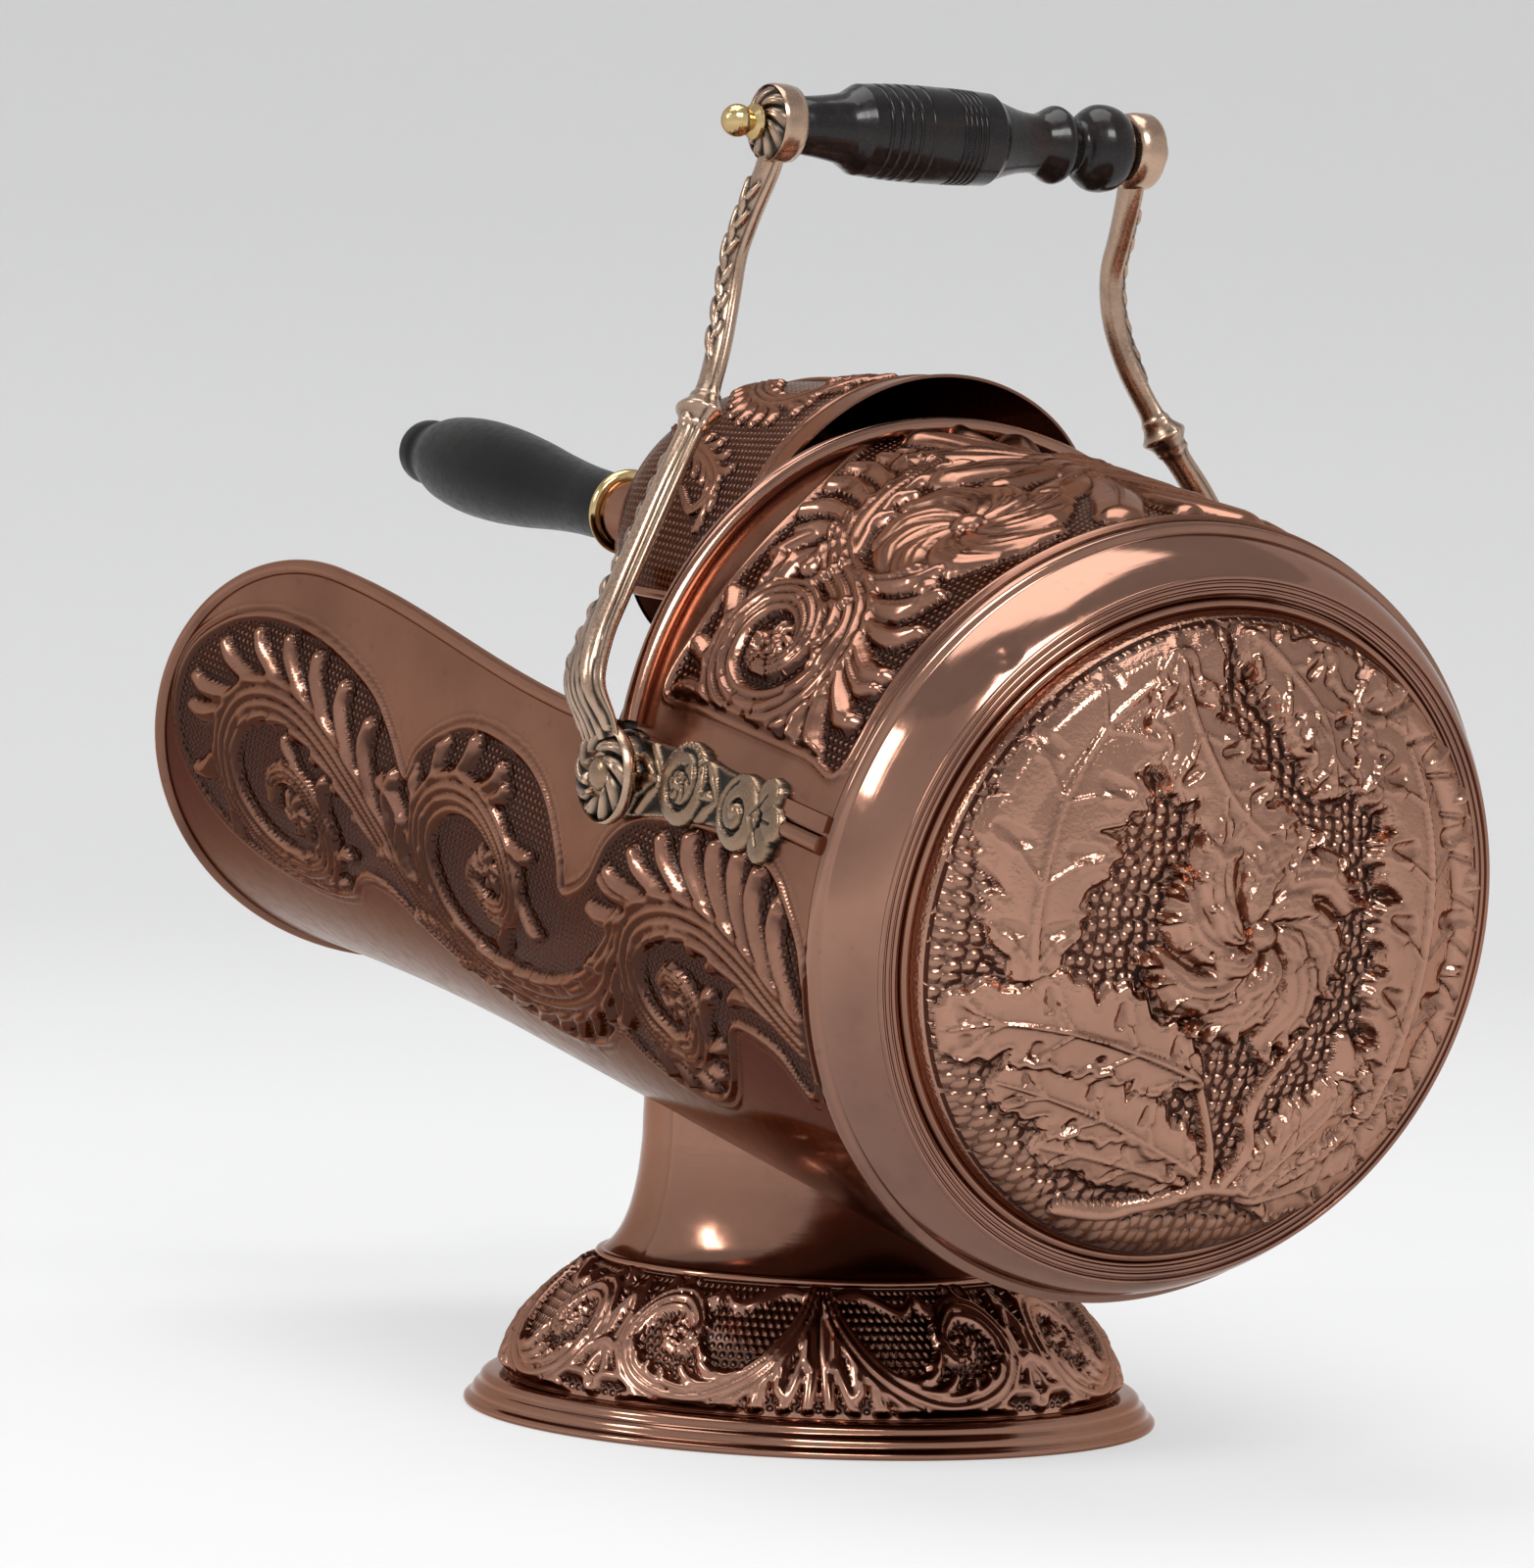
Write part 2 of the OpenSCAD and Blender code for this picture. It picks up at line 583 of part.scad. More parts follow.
// Wire in one folded side edge, from the plate to the lip
module blade_edge(sign) {
    edge = [for (p = blade_outline) if (p[1] > 1 && p[1] < blade_len - 18)
        let (up = mix(-18, -11, p[1] / blade_len), r = p[0] - blade_t / 2)
        [sign * sqrt(r * r - up * up), up, p[1]]];
    outward = [for (p = edge) [p[0], p[1], 0]];
    radius = [for (p = edge) edge_r];
    color(copper_dark) in_blade() bar(edge, outward, radius, radius, 8);
}
module blade_edge_left() { blade_edge(-1); }
module blade_edge_right() { blade_edge(1); }

module blade_plate() {
    color(copper) in_shovel() rotate([blade_tilt, 0, 0]) rotate_extrude() polygon([
        [0, 0], [plate_r, 0], [plate_r + 0.8, 1], [plate_r, plate_t], [plate_r - 8, plate_t + 0.2],
        [plate_r - 14, plate_t + 2], [0, plate_t + 2]]);
}

// Socket that holds the handle's spigot
module shovel_socket() {
    color(copper_dark) in_shovel() difference() {
        rotate_extrude() polygon([[0, plate_t], [24, plate_t], [23, plate_t + 6], [18, plate_t + 9.5],
            [15.4, 24], [14.4, 50], [15, 84], [0, 84]]);
        rotate([blade_tilt, 0, 0]) translate([0, 0, -20]) cylinder(h = 20 + plate_t + 2, r = 60);
        translate([0, 0, 62]) cylinder(h = 40, r = 11);
    }
}

module shovel_collar() {
    color(brass) in_shovel() rotate_extrude() polygon(concat(
        [[11, 84]], arc([15.5, 87], 3, 3, -90, 90, 10), [[11, 90]]));
}

// Turned handle, as (radius, distance from the back plate)
module shovel_handle() {
    body = spline([[14, 90], [14.6, 104], [15.2, 125], [17, 148], [19.6, 172], [21.4, 198], [21.4, 222],
        [19.2, 243], [15.6, 256], [14, 260.5], [14.6, 266], [13.6, 273], [9, handle_end - 2]], 3);
    color(ebony) in_shovel() rotate_extrude() polygon(concat(
        [[0, 62], [11, 62], [11, 90]], body, [[0, handle_end]]));
}

trough_sheet();
spout_wire();
hood_sheet();
hood_bead();
seam_strip_left();
seam_strip_right();
back_ring();
back_dome();
foot_neck();
foot_ridge();
foot_dome();
foot_rim();
bracket_left();
bracket_right();
pivot_pin_left();
pivot_pin_right();
bail_arm_left();
bail_arm_right();
tie_rod();
grip();
grip_washer_left();
grip_washer_right();
ball_nut();
rod_head();
blade_sheet();
blade_plate();
blade_edge_left();
blade_edge_right();
shovel_socket();
shovel_collar();
shovel_handle();
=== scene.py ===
# %% [markdown]
# # A copper coal scuttle
# A helmet scuttle is a drum of sheet copper laid almost on its side, open at
# one end as a spout and closed at the other by an embossed dome. It stands on
# a spun foot, is carried by a cast bail with a turned grip, and holds a small
# shovel over its mouth. The solids come from the CAD frame; this script gives
# each one its embossing, its wires and its finish. Left and right are named
# as seen from the spout.

# %% Load the frame
import math

import bpy
import numpy as np
from mathutils import Matrix, Vector


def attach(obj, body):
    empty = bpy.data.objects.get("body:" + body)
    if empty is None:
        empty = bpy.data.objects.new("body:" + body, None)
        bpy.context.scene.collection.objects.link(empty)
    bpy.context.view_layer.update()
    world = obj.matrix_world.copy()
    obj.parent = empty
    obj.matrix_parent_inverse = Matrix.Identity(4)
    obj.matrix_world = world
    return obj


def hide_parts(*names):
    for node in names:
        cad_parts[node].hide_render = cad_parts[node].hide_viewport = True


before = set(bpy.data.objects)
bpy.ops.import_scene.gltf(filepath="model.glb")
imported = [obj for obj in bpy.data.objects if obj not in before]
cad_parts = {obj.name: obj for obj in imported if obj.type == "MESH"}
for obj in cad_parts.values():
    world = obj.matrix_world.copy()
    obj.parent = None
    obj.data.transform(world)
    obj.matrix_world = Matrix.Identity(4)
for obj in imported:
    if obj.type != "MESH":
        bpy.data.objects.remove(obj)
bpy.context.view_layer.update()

# %% [markdown]
# ## Where things are
# The drum leans back by ten degrees, so its embossing is easier to lay out in
# a frame of its own: across, up (square to the axis) and along the axis from
# the back edge to the spout. All sizes below are millimetres of the real
# object; only the last step of a mesh turns them into metres.

# %% Sizes and the drum's frame
DRUM_R, SHEET = 150.0, 1.5
TILT = math.radians(10)
BACK = np.array([0.0, 229.0, 217.0])
AXIS = np.array([0.0, -math.cos(TILT), math.sin(TILT)])
UP = np.array([0.0, math.sin(TILT), math.cos(TILT)])
ACROSS = np.array([1.0, 0.0, 0.0])
SEAM_V = 33.0      # height of the lap between trough and hood above the axis
SEAM_BAR_V = 25.0  # height of the bar from the bracket's tail to the ring
FLARE_START, FLARE_LENGTH, FLARE = 340, 225, 10


def drum_place(across, up, along):
    """Points of the part's frame, in mm, from places in the drum's frame."""
    across, up, along = np.broadcast_arrays(across, up, along)
    return BACK + across[..., None] * ACROSS + up[..., None] * UP + along[..., None] * AXIS


def body_radius(along):
    """The drum's radius, which grows towards the spout."""
    return DRUM_R + FLARE * (np.maximum(np.asarray(along, float) - FLARE_START, 0) / FLARE_LENGTH) ** 2


PIVOT = drum_place(0.0, 19.0, 143.0)
GRIP = PIVOT + [0, -17.6, 251.0]
print("bail pivot", np.round(PIVOT, 2), "grip axis", np.round(GRIP, 2))

# %% [markdown]
# ## Camera
# The photograph was taken with a long lens from behind the right side, a
# little above the floor. A camera's own axes are easier to reason about than
# three turns, so they are worked out from the viewing angle and laid side by
# side in its matrix.

# %% Camera
image_width, film_mm = 1565, 36
focal_px, shift_px = 6616.77, -4
azimuth, elevation, roll = math.radians(148.84), math.radians(2.21), math.radians(2.31)
back_axis = np.array([math.sin(azimuth) * math.cos(elevation),
                      -math.cos(azimuth) * math.cos(elevation), math.sin(elevation)])
right_axis = np.array([math.cos(azimuth), math.sin(azimuth), 0.0])
up_axis = np.cross(back_axis, right_axis)
rolled_right = math.cos(roll) * right_axis + math.sin(roll) * up_axis
rolled_up = -math.sin(roll) * right_axis + math.cos(roll) * up_axis
camera_data = bpy.data.cameras.new("camera")
camera = bpy.data.objects.new("camera", camera_data)
bpy.context.scene.collection.objects.link(camera)
stand = (1.3734, 2.2220, 0.3537)
camera.matrix_world = Matrix([[rolled_right[k], rolled_up[k], back_axis[k], stand[k]] for k in range(3)]
                             + [[0, 0, 0, 1]])
camera_data.sensor_fit = "HORIZONTAL"
camera_data.sensor_width = film_mm
camera_data.lens = focal_px * film_mm / image_width
camera_data.shift_x = shift_px / image_width
camera_data.clip_end = 50
bpy.context.scene.camera = camera
bpy.context.scene.view_settings.view_transform = "Standard"
print("lens", round(camera_data.lens, 1), "mm at", round(float(np.linalg.norm(stand)), 2), "m")

# %% [markdown]
# ## Shader sums as sentences
# A finish is a sum of patterns, and sums read best as sums. `Value` wraps a
# socket so that `1 - mask * 2` adds the Math nodes for it. `Finish` is one
# material: its method `node` makes any other node from its kind, settings
# and inputs, and `mix` and `bump` keep colours and vectors on the nodes that
# are made for them.

# %% Value and Finish
class Value:
    """One number, colour or vector of a material, ready for sums."""
    def __init__(self, finish, socket):
        self.finish, self.socket = finish, socket

    def _sum(self, operation, other, swap=False):
        pair = (other, self) if swap else (self, other)
        return self.finish.node("ShaderNodeMath", {"operation": operation}, {0: pair[0], 1: pair[1]})

    def __add__(self, other): return self._sum("ADD", other)
    def __radd__(self, other): return self._sum("ADD", other, True)
    def __sub__(self, other): return self._sum("SUBTRACT", other)
    def __rsub__(self, other): return self._sum("SUBTRACT", other, True)
    def __mul__(self, other): return self._sum("MULTIPLY", other)
    def __rmul__(self, other): return self._sum("MULTIPLY", other, True)
    def __truediv__(self, other): return self._sum("DIVIDE", other)
    def least(self, other): return self._sum("MINIMUM", other)
    def most(self, other): return self._sum("MAXIMUM", other)
    def apply(self, operation): return self.finish.node("ShaderNodeMath", {"operation": operation}, {0: self})

    def ramp(self, low, high, to_low=0.0, to_high=1.0):
        """The value carried from one range to another, smoothly and clamped."""
        return self.finish.node("ShaderNodeMapRange", {"interpolation_type": "SMOOTHSTEP", "clamp": True},
                                {"Value": self, "From Min": low, "From Max": high,
                                 "To Min": to_low, "To Max": to_high}, "Result")


class Finish:
    """One material: a single surface shader and the patterns that feed it."""
    def __init__(self, name):
        self.material = bpy.data.materials.new(name)
        self.material.use_nodes = True
        self.tree = self.material.node_tree
        self.tree.nodes.clear()
        self.shader = self.tree.nodes.new("ShaderNodeBsdfPrincipled")
        out = self.tree.nodes.new("ShaderNodeOutputMaterial")
        self.tree.links.new(self.shader.outputs[0], out.inputs[0])

    def node(self, kind, settings=None, inputs=None, output=0):
        made = self.tree.nodes.new(kind)
        for key, value in (settings or {}).items():
            if key == "stops":
                stops = made.color_ramp.elements
                while len(stops) < len(value):
                    stops.new(0.5)
                for stop, (at, colour) in zip(stops, value):
                    stop.position, stop.color = at, (*colour, 1)
            else:
                setattr(made, key, value)
        for key, value in (inputs or {}).items():
            self.feed(made.inputs[key], value)
        return Value(self, made.outputs[output])

    def feed(self, socket, value):
        if isinstance(value, Value):
            self.tree.links.new(value.socket, socket)
        elif isinstance(value, (tuple, list)) and len(value) == 3 and socket.type == "RGBA":
            socket.default_value = (*value, 1)
        else:
            socket.default_value = value

    def place(self):
        return self.node("ShaderNodeTexCoord", output="Object")

    def attribute(self, name, vector=False):
        return self.node("ShaderNodeAttribute", {"attribute_name": name},
                         output="Vector" if vector else "Fac")

    def facing_down_shade(self, darkest=-0.55, shade_free_above=0.15):
        """Painted shade: how far the surface looks down, full below the first argument and none above the
        second.
        """
        upward = self.node("ShaderNodeSeparateXYZ",
                           inputs={0: self.node("ShaderNodeTexCoord", output="Normal")}, output=2)
        return 1 - upward.ramp(darkest, shade_free_above)

    def noise(self, scale, detail=3.0, roughness=0.55, at=None, stretch=(1, 1, 1)):
        """Noise on the object's own millimetres: scale is bumps per metre."""
        at = self.node("ShaderNodeMapping", inputs={0: at or self.place(), "Scale": stretch})
        return self.node("ShaderNodeTexNoise", inputs={
            "Vector": at, "Scale": scale, "Detail": detail, "Roughness": roughness})

    def mix(self, share, first, second):
        made = self.tree.nodes.new("ShaderNodeMix")
        made.data_type = "RGBA"
        self.feed(made.inputs[0], share)
        self.feed(made.inputs[6], first)
        self.feed(made.inputs[7], second)
        return Value(self, made.outputs[2])

    def bump(self, height, strength, distance, under=None):
        inputs = {"Height": height, "Strength": strength, "Distance": distance}
        if under is not None:
            inputs["Normal"] = under
        return self.node("ShaderNodeBump", inputs=inputs, output="Normal")

    def set(self, **sockets):
        for name, value in sockets.items():
            self.feed(self.shader.inputs[name.replace("_", " ")], value)
        return self.material


print("shader helpers ready")

# %% [markdown]
# ## Floor, backdrop and lamps
# The object stands in a pale round studio: one bowl that is floor and
# backdrop at once, so every view has the same plain ground. Where the camera
# or a reflection sees it, part of its paleness is its own glow; the rest is
# lit paper, so the floor keeps the object's shadow. Polished metal shows what
# stands around it, so the sizes and places of the soft lamps matter more
# than their power.

# %% Floor, backdrop and lamps
GLOW = 0.6  # share of the paper's look that is its own glow


def studio_bowl(radius=4.6, corner=1.6, top=4.2):
    """One turned surface: flat floor, a wide curve and a straight wall."""
    outline = [(0.0, 0.0), (0.5, 0.0), (1.5, 0.0), (radius - corner, 0.0)]
    outline += [(radius - corner + corner * math.sin(a), corner - corner * math.cos(a))
                for a in np.linspace(0, math.pi / 2, 17)[1:]]
    outline.append((radius, top))
    around = 96
    points = [(r * math.cos(2 * math.pi * k / around), r * math.sin(2 * math.pi * k / around), z)
              for r, z in outline[1:] for k in range(around)]
    faces = [tuple(range(around))]
    for i in range(len(outline) - 2):
        for k in range(around):
            a, b = i * around + k, i * around + (k + 1) % around
            faces.append((a, a + around, b + around, b))
    mesh = bpy.data.meshes.new("studio_bowl")
    mesh.from_pydata(points, [], faces)
    mesh.shade_smooth()
    bowl = bpy.data.objects.new("studio_bowl", mesh)
    bpy.context.scene.collection.objects.link(bowl)
    return bowl


bowl = studio_bowl()
paper = Finish("studio_paper")
grain = paper.noise(60, 2)
rays = [Value(paper, paper.node("ShaderNodeLightPath").socket.node.outputs[ray])
        for ray in ("Is Camera Ray", "Is Glossy Ray", "Is Transmission Ray")]
seen = (rays[0] + rays[1] + rays[2]).least(1.0) * GLOW
away = paper.node("ShaderNodeVectorMath", {"operation": "LENGTH"}, {0: paper.place()}, "Value")
rise = paper.node("ShaderNodeSeparateXYZ", inputs={0: paper.place()}, output=2)
grey = away.ramp(1.0, 4.6) * 0.5 + rise.ramp(0.0, 0.95) * 0.5
pale = paper.mix(grey, (0.965, 0.965, 0.965), (0.640, 0.640, 0.645))
lit = paper.mix(grain, (0.80, 0.80, 0.80), (0.83, 0.83, 0.83))
bowl.data.materials.append(paper.set(
    Base_Color=paper.mix(seen, lit, (0.0, 0.0, 0.0)), Roughness=0.9, Specular_IOR_Level=0.1,
    Emission_Color=paper.mix(seen, (0.0, 0.0, 0.0), pale), Emission_Strength=1.0,
    Normal=paper.bump(grain, 0.05, 0.001)))
print("studio bowl", len(bowl.data.polygons), "faces")


def lamp(name, place, aim, size, power):
    """A soft rectangular lamp that the camera itself doesn't see."""
    data = bpy.data.lights.new(name, "AREA")
    data.shape, data.size, data.size_y = "RECTANGLE", size[0], size[1]
    data.energy = power
    made = bpy.data.objects.new(name, data)
    made.location = place
    direction = Vector(aim) - made.location
    made.rotation_euler = direction.to_track_quat("-Z", "Y").to_euler()
    made.visible_camera = False
    bpy.context.scene.collection.objects.link(made)
    return made


lamp("key_softbox", (0.95, 2.75, 2.6), (0, 0.1, 0.25), (1.8, 1.1), 74)
lamp("side_softbox", (3.0, -0.6, 1.9), (0, 0, 0.3), (0.5, 1.0), 20)
lamp("top_softbox", (0.3, -0.4, 3.2), (0, 0, 0.2), (2.2, 2.2), 38)
world = bpy.data.worlds.new("studio_air")
world.use_nodes = True
world.node_tree.nodes["Background"].inputs[0].default_value = (0.80, 0.81, 0.83, 1)
world.node_tree.nodes["Background"].inputs[1].default_value = 0.50
bpy.context.scene.world = world
print("lamps:", ", ".join(light.name for light in bpy.data.lights))

# %% [markdown]
# ## Copper
# The real sheet is lacquered copper that has browned: bright where hands and
# cloths rub it, dark in its hollows, where they don't reach. One even colour
# would look like plastic, so two tones are mixed by a mask of clouds, hollows
# and painted shade, which darkens the surface the more it faces down. The
# hollows are measured on the mesh and reach the shader as an attribute.

# %% Copper
EDGE_TINT = (0.62, 0.42, 0.34)  # copper keeps some of its colour where it is seen edge on
RUBBED, BROWNED = (0.385, 0.190, 0.130), (0.060, 0.025, 0.017)
SHADE_BAND = 0.70  # how far the surface turns down from no painted shade to full painted shade


def copper(name, tone=RUBBED, dark=BROWNED, rough=0.16, ground=None, depth=0.0017, gaps=0.70, stipple=0.0,
           shade_free_above=0.15):
    """Browned copper, with painted shade on faces that look down. Of its punched ground, depth is
    the bump in metres and gaps the dirt between dots; the last argument is how far up a face must look to be
    free of painted shade."""
    f = Finish(name)
    cloud = f.noise(14, 4)
    speck = f.noise(160, 3)
    hollow = f.attribute("hollow")
    # painted shade: the facing-down term darkens the copper where it looks down; the clouds are its own tone
    # and the hollows its patina
    dirt_and_shade = cloud.ramp(0.40, 0.78) * 0.25 + hollow * 0.95 + f.facing_down_shade(shade_free_above - SHADE_BAND, shade_free_above) * 0.95
    dirt_and_shade = dirt_and_shade.least(1.0)
    fine = f.noise(900, 2)
    normal = f.bump(f.noise(55, 2), 0.12, 0.0010)
    normal = f.bump(fine, 0.05, 0.0002, normal)
    if stipple:
        normal = f.bump(f.noise(620, 1), stipple, 0.0007, normal)
    if ground:
        mask = f.attribute("ground")
        punched = ground(f, f.attribute("sheet_place", True))
        dirt_and_shade = (dirt_and_shade + (1 - punched) * mask * gaps).least(1.0)
        normal = f.bump(punched * mask, 1.0, depth, normal)
    colour = f.mix(dirt_and_shade, tone, dark)
    colour = f.mix(speck.ramp(0.58, 0.8) * 0.25, colour, dark)
    roughness = speck.ramp(0.3, 0.8, rough, rough + 0.10) + hollow * 0.12
    return f.set(Base_Color=colour, Metallic=1.0, Roughness=roughness, Specular_Tint=EDGE_TINT,
                 Coat_Weight=0.15, Coat_Roughness=0.08, Normal=normal)


plain_copper = copper("browned_copper")
print("copper:", plain_copper.name)

# %% [markdown]
# ### Punched grounds
# Behind the scrolls the sheet is pearled, dot by dot, and behind the leaves
# of the dome it is hammered into pebbles. There are too many dots to model,
# so they are sums on the flattened sheet's own lengths, which travel with
# the mesh as `sheet_place`. The bump and the dirt between the dots both
# follow from the same sum.

# %% Pearled and pebbled grounds
ROW = 0.87  # rows of staggered dots lie closer than the dots in a row


def pearls(f, place, pitch=0.0035):
    """Round dots in staggered rows, pressed one by one."""
    parts = f.node("ShaderNodeSeparateXYZ", inputs={0: place})
    u, v = parts, Value(f, parts.socket.node.outputs[1])
    row = v / (pitch * ROW)
    odd = (row.apply("FLOOR") * 0.5).apply("FRACT")
    x = (u / pitch + odd).apply("FRACT") - 0.5
    y = (row.apply("FRACT") - 0.5) * ROW
    near = (x * x + y * y).apply("SQRT")
    return 1 - near.ramp(0.10, 0.44)


def pebbles(f, place, size=0.0050):
    """Hammered pebbles packed close, each a small dome a little different from the next."""
    near = f.node("ShaderNodeTexVoronoi", {"voronoi_dimensions": "2D"},
                  {"Vector": place, "Scale": 1 / size, "Randomness": 0.55}, "Distance")
    return (1 - near * near * 2.2).most(0.0)


pearled_copper = copper("pearled_copper", ground=pearls)
# the dome's painted shade starts only on faces that look well down
pebbled_copper = copper("pebbled_copper", (0.44, 0.235, 0.165), ground=pebbles, depth=0.0026,
                        gaps=0.30, stipple=0.35, shade_free_above=-0.35)
foot_pearled_copper = copper("foot_pearled_copper", (0.50, 0.265, 0.190), ground=pearls, gaps=0.40)
print("punched:", ", ".join(m.name for m in (pearled_copper, pebbled_copper, foot_pearled_copper)))
# every solid starts in plain copper; the last cells give their own finish to those that stay
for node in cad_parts.values():
    for holder in node.material_slots:
        holder.material = plain_copper

# %% [markdown]
# ## Drawing in relief
# A chaser draws with blunt punches, and each push leaves a rounded stroke.
# `Relief` holds the height of one flattened sheet and draws on it in the same
# way: a stroke follows a curve, swells and tapers, and where two meet the
# higher one shows, which leaves the sharp valleys between the fingers of an
# acanthus leaf. Broad strokes go on the body of the relief, thin ones on its
# lines, and the two are added.

# %% Curves and strokes
def smooth_line(points, pieces=6):
    """A smooth curve through every point, with so many pieces between two."""
    p = np.asarray(points, float)
    if len(p) == 2:
        return np.linspace(p[0], p[1], pieces + 1)
    q = np.vstack([2 * p[0] - p[1], p, 2 * p[-1] - p[-2]])
    t = (np.arange(pieces) / pieces)[:, None]
    out = [0.5 * (2 * b + (c - a) * t + (2 * a - 5 * b + 4 * c - d) * t ** 2
                  + (3 * b - a - 3 * c + d) * t ** 3)
           for a, b, c, d in zip(q, q[1:], q[2:], q[3:])]
    return np.vstack(out + [p[-1:]])


def along_line(line, share):
    """Point and direction at a share of a line's length."""
    steps = np.r_[0, np.cumsum(np.linalg.norm(np.diff(line, axis=0), axis=1))]
    at = np.clip(share, 0, 1) * steps[-1]
    point = np.array([np.interp(at, steps, line[:, 0]), np.interp(at, steps, line[:, 1])])
    ahead = min(at + steps[-1] * 0.02, steps[-1])
    behind = max(at - steps[-1] * 0.02, 0)
    way = np.array([np.interp(ahead, steps, line[:, k]) - np.interp(behind, steps, line[:, k])
                    for k in (0, 1)])
    return point, way / np.linalg.norm(way)


def beside(line, distance):
    """The line moved to its left by a distance, which may change along it."""
    way = np.gradient(line, axis=0)
    way /= np.maximum(np.linalg.norm(way, axis=1), 1e-9)[:, None]
    distance = np.interp(np.linspace(0, 1, len(line)), np.linspace(0, 1, np.size(distance)),
                         np.atleast_1d(distance))
    return line + np.stack([-way[:, 1], way[:, 0]], 1) * distance[:, None]


class Relief:
    """The height of a flattened sheet at places (u, v), all in mm."""
    def __init__(self, u, v):
        self.u, self.v = u, v
        self.body = np.zeros(u.shape)
        self.lines = np.zeros(u.shape)

    def reach(self, line, margin):
        """The places within a margin of a line's box."""
        low, high = line.min(0) - margin, line.max(0) + margin
        return (self.u > low[0]) & (self.u < high[0]) & (self.v > low[1]) & (self.v < high[1])

    def distance(self, line, near):
        """Distance to a line, and how far along it the nearest point lies."""
        points = np.stack([self.u[near], self.v[near]], 1)
        best = np.full(len(points), 1e9)
        share = np.zeros(len(points))
        for k in range(len(line) - 1):
            edge = line[k + 1] - line[k]
            t = np.clip((points - line[k]) @ edge / max(edge @ edge, 1e-12), 0, 1)
            gap = np.linalg.norm(points - line[k] - t[:, None] * edge, axis=1)
            closer = gap < best
            best[closer] = gap[closer]
            share[closer] = (k + t[closer]) / (len(line) - 1)
        return best, share

    def stroke(self, points, width, height, on="body", roundness=0.6, pieces=6):
        """A rounded stroke; width is the half width, and both may be lists along the line."""
        line = smooth_line(points, pieces)
        near = self.reach(line, np.max(width))
        if not near.any():
            return
        gap, share = self.distance(line, near)
        half = np.interp(share, np.linspace(0, 1, np.size(width)), np.atleast_1d(width))
        rise = np.interp(share, np.linspace(0, 1, np.size(height)), np.atleast_1d(height))
        value = rise * np.maximum(1 - (gap / np.maximum(half, 1e-6)) ** 2, 0) ** roundness
        layer = getattr(self, on)
        layer[near] = np.where(rise < 0, np.minimum(layer[near], value), np.maximum(layer[near], value))

    def inside(self, outline, near):
        """Which of the places near an outline lie within it."""
        points = np.stack([self.u[near], self.v[near]], 1)
        hit = np.zeros(len(points), bool)
        for a, b in zip(outline, np.roll(outline, -1, axis=0)):
            crosses = (a[1] > points[:, 1]) != (b[1] > points[:, 1])
            with np.errstate(divide="ignore", invalid="ignore"):
                at = (b[0] - a[0]) * (points[:, 1] - a[1]) / (b[1] - a[1]) + a[0]
            hit ^= crosses & (points[:, 0] < at)
        return hit

    def patch(self, outline, height, edge):
        """Raises what lies inside an outline, rounded down over its edge."""
        near = self.reach(outline, 1.0)
        gap, _ = self.distance(np.vstack([outline, outline[:1]]), near)
        value = height * (1 - np.exp(-(gap / edge) * 1.6)) * self.inside(outline, near)
        self.body[near] = np.maximum(self.body[near], value)

    def scale(self, share):
        """Lowers everything drawn so far to a share of its height, place by place."""
        self.body *= share
        self.lines *= share

    def total(self):
        return self.body + self.lines


def blurred(values, times, wrap=False):
    """A grid smoothed a little, so many times; wrap joins its sides."""
    out = values.copy()
    for _ in range(times):
        wide = np.pad(out, ((1, 1), (0, 0)), "edge")
        out = (wide[:-2] + 2 * wide[1:-1] + wide[2:]) / 4
        wide = np.pad(out, ((0, 0), (1, 1)), "wrap" if wrap else "edge")
        out = (wide[:, :-2] + 2 * wide[:, 1:-1] + wide[:, 2:]) / 4
    return out


print("relief tools ready")

# %% [markdown]
# ### Leaves from strokes
# Acanthus is a bundle of fingers that leave a stem along its own direction
# and then curl away from it, each ending in a swollen tip. `fingers` lays
# them along any stem; `frond` gives the stem its ridges. An oak leaf is
# another thing: a flat blade with a lobed outline, a midrib and one side vein
# to each lobe.

# %% Acanthus fingers, fronds and oak leaves
def finger(relief, root, way, side, length, width, height, curl=1.0):
    """One finger: along the way at first, then curling off to the side."""
    off = side * np.array([-way[1], way[0]])
    path = [root, root + way * length * 0.30 + off * length * 0.05 * curl,
            root + way * length * 0.62 + off * length * 0.20 * curl,
            root + way * length * 0.86 + off * length * 0.42 * curl,
            root + way * length * (1.0 - 0.08 * curl) + off * length * 0.66 * curl]
    relief.stroke(path, [width * 0.3, width * 0.62, width * 0.92, width, width * 0.78],
                  [height * 0.35, height * 0.7, height * 1.05, height * 1.25, height * 1.3], "body", 0.62, 4)
    relief.stroke(path, [width * 0.16, width * 0.22, width * 0.26, width * 0.24, width * 0.1],
                  [height * 0.1, height * 0.2, height * 0.26, height * 0.22, 0], "lines", 0.9, 4)


def fingers(relief, stem, first, last, count, side, length, width=3.6, height=2.6, curl=1.0, start=0.0):
    """Fingers along part of a stem; length, width and curl may be lists from first to last."""
    line = smooth_line(stem, 8)
    for k in range(count):
        t = k / max(count - 1, 1)

        def value(x):
            return float(np.interp(t, np.linspace(0, 1, np.size(x)), np.atleast_1d(x)))
        root, way = along_line(line, first + (last - first) * t)
        off = side * np.array([-way[1], way[0]])
        finger(relief, root + off * start, way, side, value(length), value(width), value(height), value(curl))


